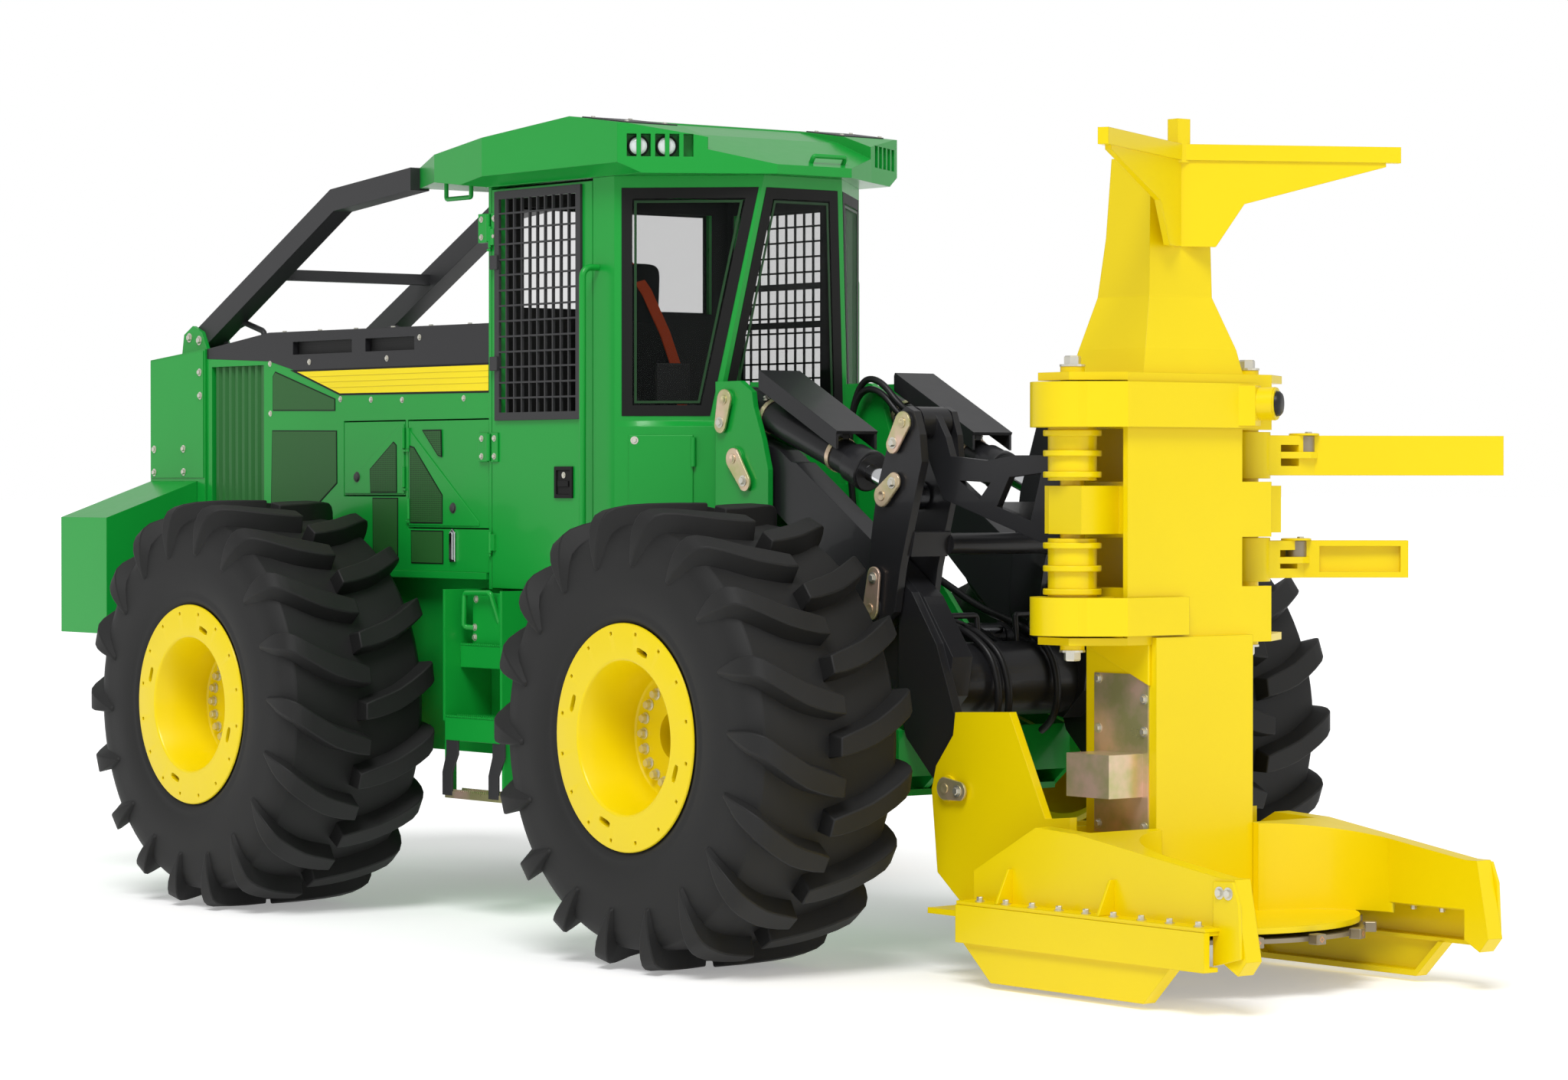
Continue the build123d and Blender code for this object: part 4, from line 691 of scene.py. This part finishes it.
def pad(name, centre, size, tilt, channels, replaced=None):
    """Crowned cushion, sewn in across its faces at the channels; size is half of each side."""
    rows, steps = 24, 48
    points, faces = [], []
    for row in range(rows + 1):
        rise = math.pi * (row / rows - 0.5)
        share = bent(math.cos(rise), 0.22)
        for step in range(steps):
            angle = 2 * math.pi * step / steps
            x, y = share * bent(math.cos(angle), 0.3), share * bent(math.sin(angle), 0.3)
            groove = sum(math.exp(-((x - channel) / 0.035) ** 2) for channel in channels)
            level = bent(math.sin(rise), 0.5) * (1 - 0.16 * groove)
            place = Vector((x * size[0], y * size[1], level * size[2]))
            points.append(centre + Matrix.Rotation(tilt, 3, "Y") @ place)
    for row in range(rows):
        low, high = row * steps, (row + 1) * steps
        for step in range(steps):
            after = (step + 1) % steps
            faces.append((low + step, low + after, high + after, high + step))
    piece = fit(name, (points, faces), cloth, "rear", soft=60)
    if replaced:
        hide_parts(replaced)


back_tilt = math.radians(-86.5)
pad("seat_cushion", at(-112, 0, 1846), (216, 228, 52), 0.0, (-0.4, 0.1, 0.55), "seat")
pad("seat_backrest", at(-350, 0, 2232), (322, 218, 40), back_tilt, (-0.5, 0.0, 0.5), "seat_back")
pad("seat_headrest", at(-352, 0, 2668), (138, 150, 42), back_tilt, ())
base = prism(box(-250, 50, -150, 150), at(0, 0, 1446), (1, 0, 0), (0, 1, 0), 300)
pan = prism(box(-322, 96, -222, 222), at(0, 0, 1746), (1, 0, 0), (0, 1, 0), 50)
pedestal = fit("seat_pedestal", joined(base, pan), trim, "rear", edge=0.012)
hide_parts("seat")
arms = []
for side in right_and_left:
    arms.append(upright(box(-300, 80, 2012, 2058), side * 250, 78))
    arms.append(upright(box(-296, -206, 1852, 2014), side * 232, 62))
armrests = fit("armrests", joined(*arms), trim, "rear", edge=0.01)
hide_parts("seat_back")
belt_line = (at(-322, -38, 2812), at(-306, 64, 2681), at(-296, 158, 2500), at(-292, 226, 2330),
             at(-262, 236, 2110), at(-206, 232, 1925))
belt_section = [Vector(corner) for corner in ((0, -24, -10), (0, 24, 10), (5, 24, 12), (5, -24, -8))]
belt_points = [stop + corner for stop in belt_line for corner in belt_section]
belt_faces = [(first + edge, first + (edge + 1) % 4, first + 4 + (edge + 1) % 4, first + 4 + edge)
              for first in range(0, len(belt_points) - 4, 4) for edge in range(4)]
belt_faces += [(0, 1, 2, 3), tuple(range(len(belt_points) - 4, len(belt_points)))]
fit("belt", (belt_points, belt_faces), belt_orange, "rear", soft=50)

# Cab door fittings: cast strap hinges bolted on at the rear edge, black hinges of the mesh guard,
# and a recessed black latch with a steel button.
hinge_levels = (2940.0, 2005.0)
leaf_bolts = [z + rise for z in hinge_levels for rise in (-38, 38)]
fixed_leaves = [upright(box(-545, -478, z - 62, z + 62), -640, 14) for z in hinge_levels]
hinge_pins = turned(((11, -58), (11, 58)), [(at(-461, -660, z), (0, 0, 1)) for z in hinge_levels])
fit("hinge_leaves_fixed", joined(*fixed_leaves, hinge_pins), green_paint, "rear", edge=0.002)
fit("hinge_leaves_door", joined(*[upright(box(-443, -396, z - 62, z + 62), -650, 8) for z in hinge_levels]),
    green_paint, "cab_door", edge=0.002)
bolts("hinge_bolts_fixed", [(at(-520, -654, z), (0, -1, 0)) for z in leaf_bolts], 9, 8, "rear")
bolts("hinge_bolts_door", [(at(-420, -658, z), (0, -1, 0)) for z in leaf_bolts], 9, 8, "cab_door")
fit("guard_hinges", joined(*[upright(box(-436, -380, z - 30, z + 30), -661, 12) for z in (2790, 2360)]),
    guard_paint, "cab_door", edge=0.003)
latch_edge = box(17, 145, 1790, 1922)
fit("door_latch", joined(upright(latch_edge, -650, 9, hole=grown(latch_edge, -16)),
                         upright(grown(latch_edge, -16), -650, 3),
                         upright(box(44, 118, 1838, 1862), -652, 8)),
    trim, "cab_door", edge=0.003)
bolts("latch_button", [(at(81, -654, 1886), (0, -1, 0))], 9, 6, "cab_door")

# Cab outside: bent tube handrails, a small hinged cover on the lower front, and the plates, lamps
# and handles of the roof. Bolted and welded steel in the cab's green.
rail_foot, rail_head, rail_out = 1600, 2732, 730
tubes("far_handrail", [[at(x, 649, rail_foot), at(x, rail_out, rail_foot), at(x, rail_out, rail_head),
                        at(x, 649, rail_head)] for x in (320, 230)], 13, green_paint, "rear", bend=45)
front_along = Vector((327, 285, 0)).normalized()
front_out = front_along.cross(Vector((0, 0, 1)))


def on_front(along, z, out=0):
    """Place on the slanting front of the cab's lower shell, right of the windscreen."""
    return at(433, -cab_side, z) + front_along * along + front_out * out


fit("front_cover", prism(box(60, 330, 1600, 2050), on_front(0, 0), front_along, (0, 0, 1), 7),
    green_paint, "rear", edge=0.003)
bolts("front_cover_bolts", [(on_front(85, z, 7), front_out) for z in (2028, 1622)], 11, 8, "rear")
cover_hinges = [(on_front(332, z, 10), (0, 0, 1)) for z in (1980, 1700)]
fit("front_cover_hinges", turned(((10, -60), (10, 60)), cover_hinges), green_paint, "rear", soft=40)
roof_slope, roof_up = Vector((360, 0, -49)).normalized(), Vector((0.135, 0, 1))
corner_run = Vector((193, 302))      # the roof's corner facet, forward and inward, that holds the lamps
roof_plates, roof_bolts, lamp_places = [], [], []
for side in right_and_left:
    lid = [(60, side * 466), (335, side * 430), (345, side * 660), (300, side * 700), (60, side * 718)]
    roof_plates.append(prism(lid, at(240, 0, 3363), roof_slope, (0, 1, 0), 6))
    for along, across in ((95, 496), (300, 470), (310, 670), (95, 686)):
        roof_bolts.append((at(240, side * across, 3368) + roof_slope * along, roof_up))
    face_out = Vector((corner_run.y, side * corner_run.x, 0)).normalized()
    for distance in (88, 204):
        shift = corner_run * (distance / corner_run.length)
        lamp_places.append((at(577 + shift.x, side * (742 - shift.y), 3224) - face_out * 52, face_out))
fit("roof_plates", joined(*roof_plates), guard_paint, "rear", edge=0.002)
bolts("roof_plate_bolts", roof_bolts, 9, 6, "rear")
fit("lamp_bodies", turned(((44, -6), (44, 22), (40, 24)), lamp_places), trim, "rear", soft=40)
fit("lamps", turned(((37, 22), (34, 27), (20, 31), (6, 32)), lamp_places),
    lamp_glass, "rear", soft=50)
tubes("roof_handles", [[at(880, 20, 3160), at(905, 20, 3198), at(905, 190, 3198), at(880, 190, 3160)],
                       [at(-880, -590, 3180), at(-880, -590, 3085), at(-690, -590, 3085),
                        at(-690, -590, 3180)]], 10, green_paint, "rear", bend=24)

# Steps: folded treads with saw-toothed edges, a bolted box behind them, a bent grab handle, and a
# lowest step of gold-plated channel that hangs on dark spring steel straps.
tooth_pitch = 15
skirts, teeth = [], []
for z, reach, depth in ((1162, 720, 96), (858, 800, 100)):
    skirts.append(upright(box(-585, -175, z - depth, z), -(reach - 8), 9))
    for x in range(-582, -582 + 27 * tooth_pitch, tooth_pitch):
        teeth += [upright([(x, z - 1), (x + 13, z - 1), (x + 10, z + 8), (x + 3, z + 8)], y, 5)
                  for y in (-reach + 2, -reach + 62)]
fit("tread_skirts", joined(*skirts), green_paint, "rear", edge=0.003)
fit("tread_teeth", joined(*teeth), green_paint, "rear")
straps = [upright([(x, 522), (x + 75, 522), (x + 75, 620), (x + 120, 700), (x + 120, 842), (x + 30, 842),
                   (x + 30, 700), (x, 620)], -790, 8) for x in (-610, -265)]
fit("step_straps", joined(*straps), guard_paint, "rear", edge=0.002)
low_teeth = [upright([(x, 539), (x + 12, 539), (x + 9, 549), (x + 3, 549)], y, 5)
             for x in range(-590, -190, tooth_pitch) for y in (-786, -706)]
low_channel = prism(box(-592, -170, -796, -696), at(0, 0, 511), (1, 0, 0), (0, 1, 0), 29)
fit("low_tread", joined(low_channel, *low_teeth), gold_zinc, "rear")
step_bolts = ((-495, 1358), (-210, 1358), (-505, 1238), (-505, 1195))
bolts("step_bolts", [(at(x, -700, z), (0, -1, 0)) for x, z in step_bolts], 11, 9, "rear")
tubes("grab_handle", [[at(-500, -690, 1235), at(-548, -728, 1239), at(-541, -728, 1384), at(-347, -728, 1388),
                       at(-335, -690, 1260)]], 12, green_paint, "rear", bend=36)

# Pin keepers: gold-plated obround plates that stop each linkage pin from turning; one end lies on
# the pin with its grease hole, the other is bolted down.
keeper_thickness = 11


def keepers(name, y, ends, body):
    """Keeper plates on both sides; ends are pin and bolt places in x and z."""
    plates = []
    for pin, bolt in ends:
        run = Vector((bolt[0] - pin[0], bolt[1] - pin[1]))
        lean = math.atan2(run.y, run.x)
        outline = []
        for index in range(24):
            angle = 2 * math.pi * index / 24
            shift, radius = (run.length + 8, 36) if math.cos(angle) > 0 else (0, 44)
            u, v = shift + radius * math.cos(angle), radius * math.sin(angle)
            outline.append((pin[0] + u * math.cos(lean) - v * math.sin(lean),
                            pin[1] + u * math.sin(lean) + v * math.cos(lean)))
        plates += [upright(outline, side * y, keeper_thickness) for side in right_and_left]
    face = y + keeper_thickness
    grease_hole = turned(((20, 0), (20, 3), (13, 3.5), (10, 1.5)), outward([pin for pin, bolt in ends], face))
    fit(name, joined(*plates), gold_zinc, body, edge=0.003)
    fit(name + "_grease", grease_hole, gold_zinc, body, soft=40)
    bolts(name + "_bolts", outward([bolt for pin, bolt in ends], face), 15, 13, body)


base_pin, rod_eye = (924, 2189), (1960, 1805)
keepers("tower_keepers", 455, ((base_pin, (900, 2098)), ((982, 1951), (1052, 1862))), "front")
keepers("rocker_keepers", 490, (((2083, 2084), (2029, 2007)), (rod_eye, (2024, 1854)),
                                ((1890, 1368), (1910, 1487))), "rocker")
keepers("ear_keepers", 492, (((2335, 698), (2410, 692)),), "head")

# Cylinders: gold-plated band clamps that hold the folded guards over the tilt cylinders, and the
# black screwed glands at the rod ends.
axis = (at(rod_eye[0], 0, rod_eye[1]) - at(base_pin[0], 0, base_pin[1])).normalized()
cylinder_y = 345


def on_cylinder(side, distance):
    """Place on the middle line of a tilt cylinder, at a distance from its base pin."""
    return at(base_pin[0], side * cylinder_y, base_pin[1]) + axis * distance


clamps = [(on_cylinder(side, distance), axis) for side in right_and_left for distance in (190, 640)]
clips = [(on_cylinder(side, distance) + Vector((0, side * 40, 66)), (0, side * 0.5, 1))
         for side in right_and_left for distance in (190, 640)]
clamp = ((69, -11), (73, -11), (73, 11), (69, 11))
fit("clamp_bands", turned(clamp, clamps, 40, closed=True), gold_zinc, "tilt_barrels", soft=30)
bolts("clamp_bolts", clips, 9, 16, "tilt_barrels")
gland = ((74, -40), (79, -38), (79, 36), (84, 40), (84, 62), (78, 66), (74, 66))
fit("glands", turned(gland, [(on_cylinder(side, 775), axis) for side in right_and_left], 40, closed=True),
    black_paint, "tilt_barrels", soft=30)

# Hydraulic lines: black rubber hoses clamped to the boom on their way over the torque tube, under
# a welded hoop, and two short loops from the left tower to the left tilt cylinder.
hose_stops = ((1015, 1690), (1300, 1575), (1600, 1455), (1800, 1358), (1990, 1308), (2120, 1262),
              (2215, 1185), (2243, 1060), (2215, 930), (2130, 885))
boom_routes = []
for first_y, last_y in ((-232, -118), (-196, -60), (120, 176)):
    drift = (last_y - first_y) / (len(hose_stops) - 1)
    boom_routes.append([at(x, first_y + drift * index, z) for index, (x, z) in enumerate(hose_stops)])
tubes("boom_hoses", boom_routes, 15, hose_rubber, "boom")
hoops = [[at(2065, low_y, 1215), at(2050, low_y, 1338), at(2050, high_y, 1338), at(2065, high_y, 1215)]
         for low_y, high_y in ((-238, -92), (108, 190))]
tubes("hose_hoops", hoops, 12, black_paint, "boom", bend=30)
loops = [[at(1250, 280, 2078 + rise), at(1215, 226, 2120 + rise), at(1120, 205, 2230 + rise),
          at(1015, 190, 2245 + rise), at(950, 180, 2140), at(940, 180, 1930), at(960, 185, 1760)]
         for rise in (0, 42)]
tubes("tower_hoses", loops, 14, hose_rubber, "tilt_barrels")

# Felling head fittings: nuts on the arm pins, hub collars, wear plates on the horns, the bolted
# flange round the saw, stiffening gussets, and a rubber buffer on the upper arm. Yellow enamel.
arm_pin_x, arm_pin_y = 2991, 447
pin_nuts = [(at(arm_pin_x, side * arm_pin_y, z), (0, 0, way))
            for z, way in ((2280, 1), (1240, -1)) for side in right_and_left]
bolts("arm_pin_nuts", pin_nuts, 32, 40, "head")
collar = ((92, -11), (106, -11), (108, -8), (108, 8), (106, 11), (92, 11))
for arm, levels in (("arm_right_upper", (1884, 1962, 2036)), ("arm_right_lower", (1455, 1540, 1624))):
    rings = turned(collar, [(at(arm_pin_x, -arm_pin_y, z), (0, 0, 1)) for z in levels], 40, closed=True)
    fit(arm + "_collars", rings, yellow_paint, arm, soft=30)
up = Vector((0, 0, 1))
disc = ((58, 0), (58, 7), (52, 9))
for arm, top, elbow_x, elbow_y in (("arm_left_upper", 2034, 3055, 690), ("arm_left_lower", 1634, 3048, 655)):
    run = at(elbow_x, elbow_y, 0) - at(arm_pin_x, arm_pin_y, 0)
    along, reach = run.normalized(), run.length
    lever = [(0, -60), (reach, -52), (reach + 38, -36), (reach + 54, 0), (reach + 38, 36), (reach, 52),
             (0, 60)]
    lever_plate = prism(lever, at(arm_pin_x, arm_pin_y, top - 88), along, up.cross(along), 26)
    fit(arm + "_lever", lever_plate, yellow_paint, arm, edge=0.003)
    elbow = [(at(elbow_x, elbow_y, top), up)]
    fit(arm + "_lever_pin", turned(((40, -84), (40, -2)), elbow, 32), worn_steel, arm, soft=30)
    fit(arm + "_disc", turned(disc, elbow, 32), yellow_paint, arm, soft=30)
    bolts(arm + "_bolt", [(at(elbow_x + 16, elbow_y + 8, top + 7), up)], 14, 8, arm)
tip_out = Vector((0.87, 0.5, 0)).normalized()
tip = [(at(3246, 263, 2148) + tip_out * 60, tip_out)]
fit("arm_buffer", turned(((46, -2), (46, 16), (38, 24), (20, 27)), tip, 40),
    hose_rubber, "arm_right_upper", soft=50)
fit("arm_buffer_ring", turned(((47, 0), (60, 0), (60, 6), (47, 6)), tip, 40, closed=True),
    yellow_paint, "arm_right_upper", soft=30)
flange_low, flange_high = 286, 314
flange_bolts, gussets = [], []
for side in right_and_left:
    for x in range(2764, 3917, 144):
        flange_bolts.append((at(x, side * 698, flange_high), up))
        flange_bolts.append((at(x, side * 690, flange_low), -up))
    for x in (2890, 3436):
        gusset = [(649, flange_high), (728, flange_high), (668, 440), (649, 440)]
        gussets.append(prism(gusset, at(x, 0, 0), (0, side, 0), (0, 0, 1), 12))
bolts("flange_bolts", flange_bolts, 12, 18, "head")
fit("flange_gussets", joined(*gussets), yellow_paint, "head", edge=0.002)
horn = [(3950, 472), (4048, 476), (4078, 400), (4088, 210), (3950, 176)]
fit("horn_plates", joined(*[upright(horn, side * 650, 14) for side in right_and_left]),
    yellow_paint, "head", edge=0.003)
bolts("horn_bolts", outward(((3985, 434), (4028, 434)), 664), 15, 13, "head")
cover_bolts = ((2922, 1130), (2922, 945), (3168, 1060), (3168, 940), (3168, 590), (2922, 590))
bolts("cover_bolts", [(at(x, -253, z), (0, -1, 0)) for x, z in cover_bolts], 13, 12, "head")
fit("cover_gusset", upright([(2880, 1240), (3200, 1110), (3200, 1262), (2880, 1262)], -247, 14),
    yellow_paint, "head", edge=0.003)

# Saw teeth: square steel holders round the rim of the disc, each with a carbide tip that is brazed
# on; the braze shows as a copper-coloured outline.
saw_x, saw_z, saw_radius = 3130, 216, 655
holder_count, holder_depth = 16, 43
diamond = [(-13, 0), (0, -13), (13, 0), (0, 13)]
inner_diamond = [(0.55 * u, 0.55 * v) for u, v in diamond]
holders, tips = [], []
for index in range(holder_count):
    turn = 2 * math.pi * index / holder_count
    out, round_way = Vector((math.cos(turn), math.sin(turn), 0)), Vector((-math.sin(turn), math.cos(turn), 0))
    centre = at(saw_x, 0, saw_z) + out * saw_radius
    holders.append(prism(box(-24, 24, -19, 19), centre, round_way, up, holder_depth))
    tips.append(prism(diamond, centre + out * holder_depth, round_way, up, 1.5, hole=inner_diamond))
fit("tooth_holders", joined(*holders), worn_steel, "saw", edge=0.004)
fit("tooth_brazing", joined(*tips), braze, "saw")
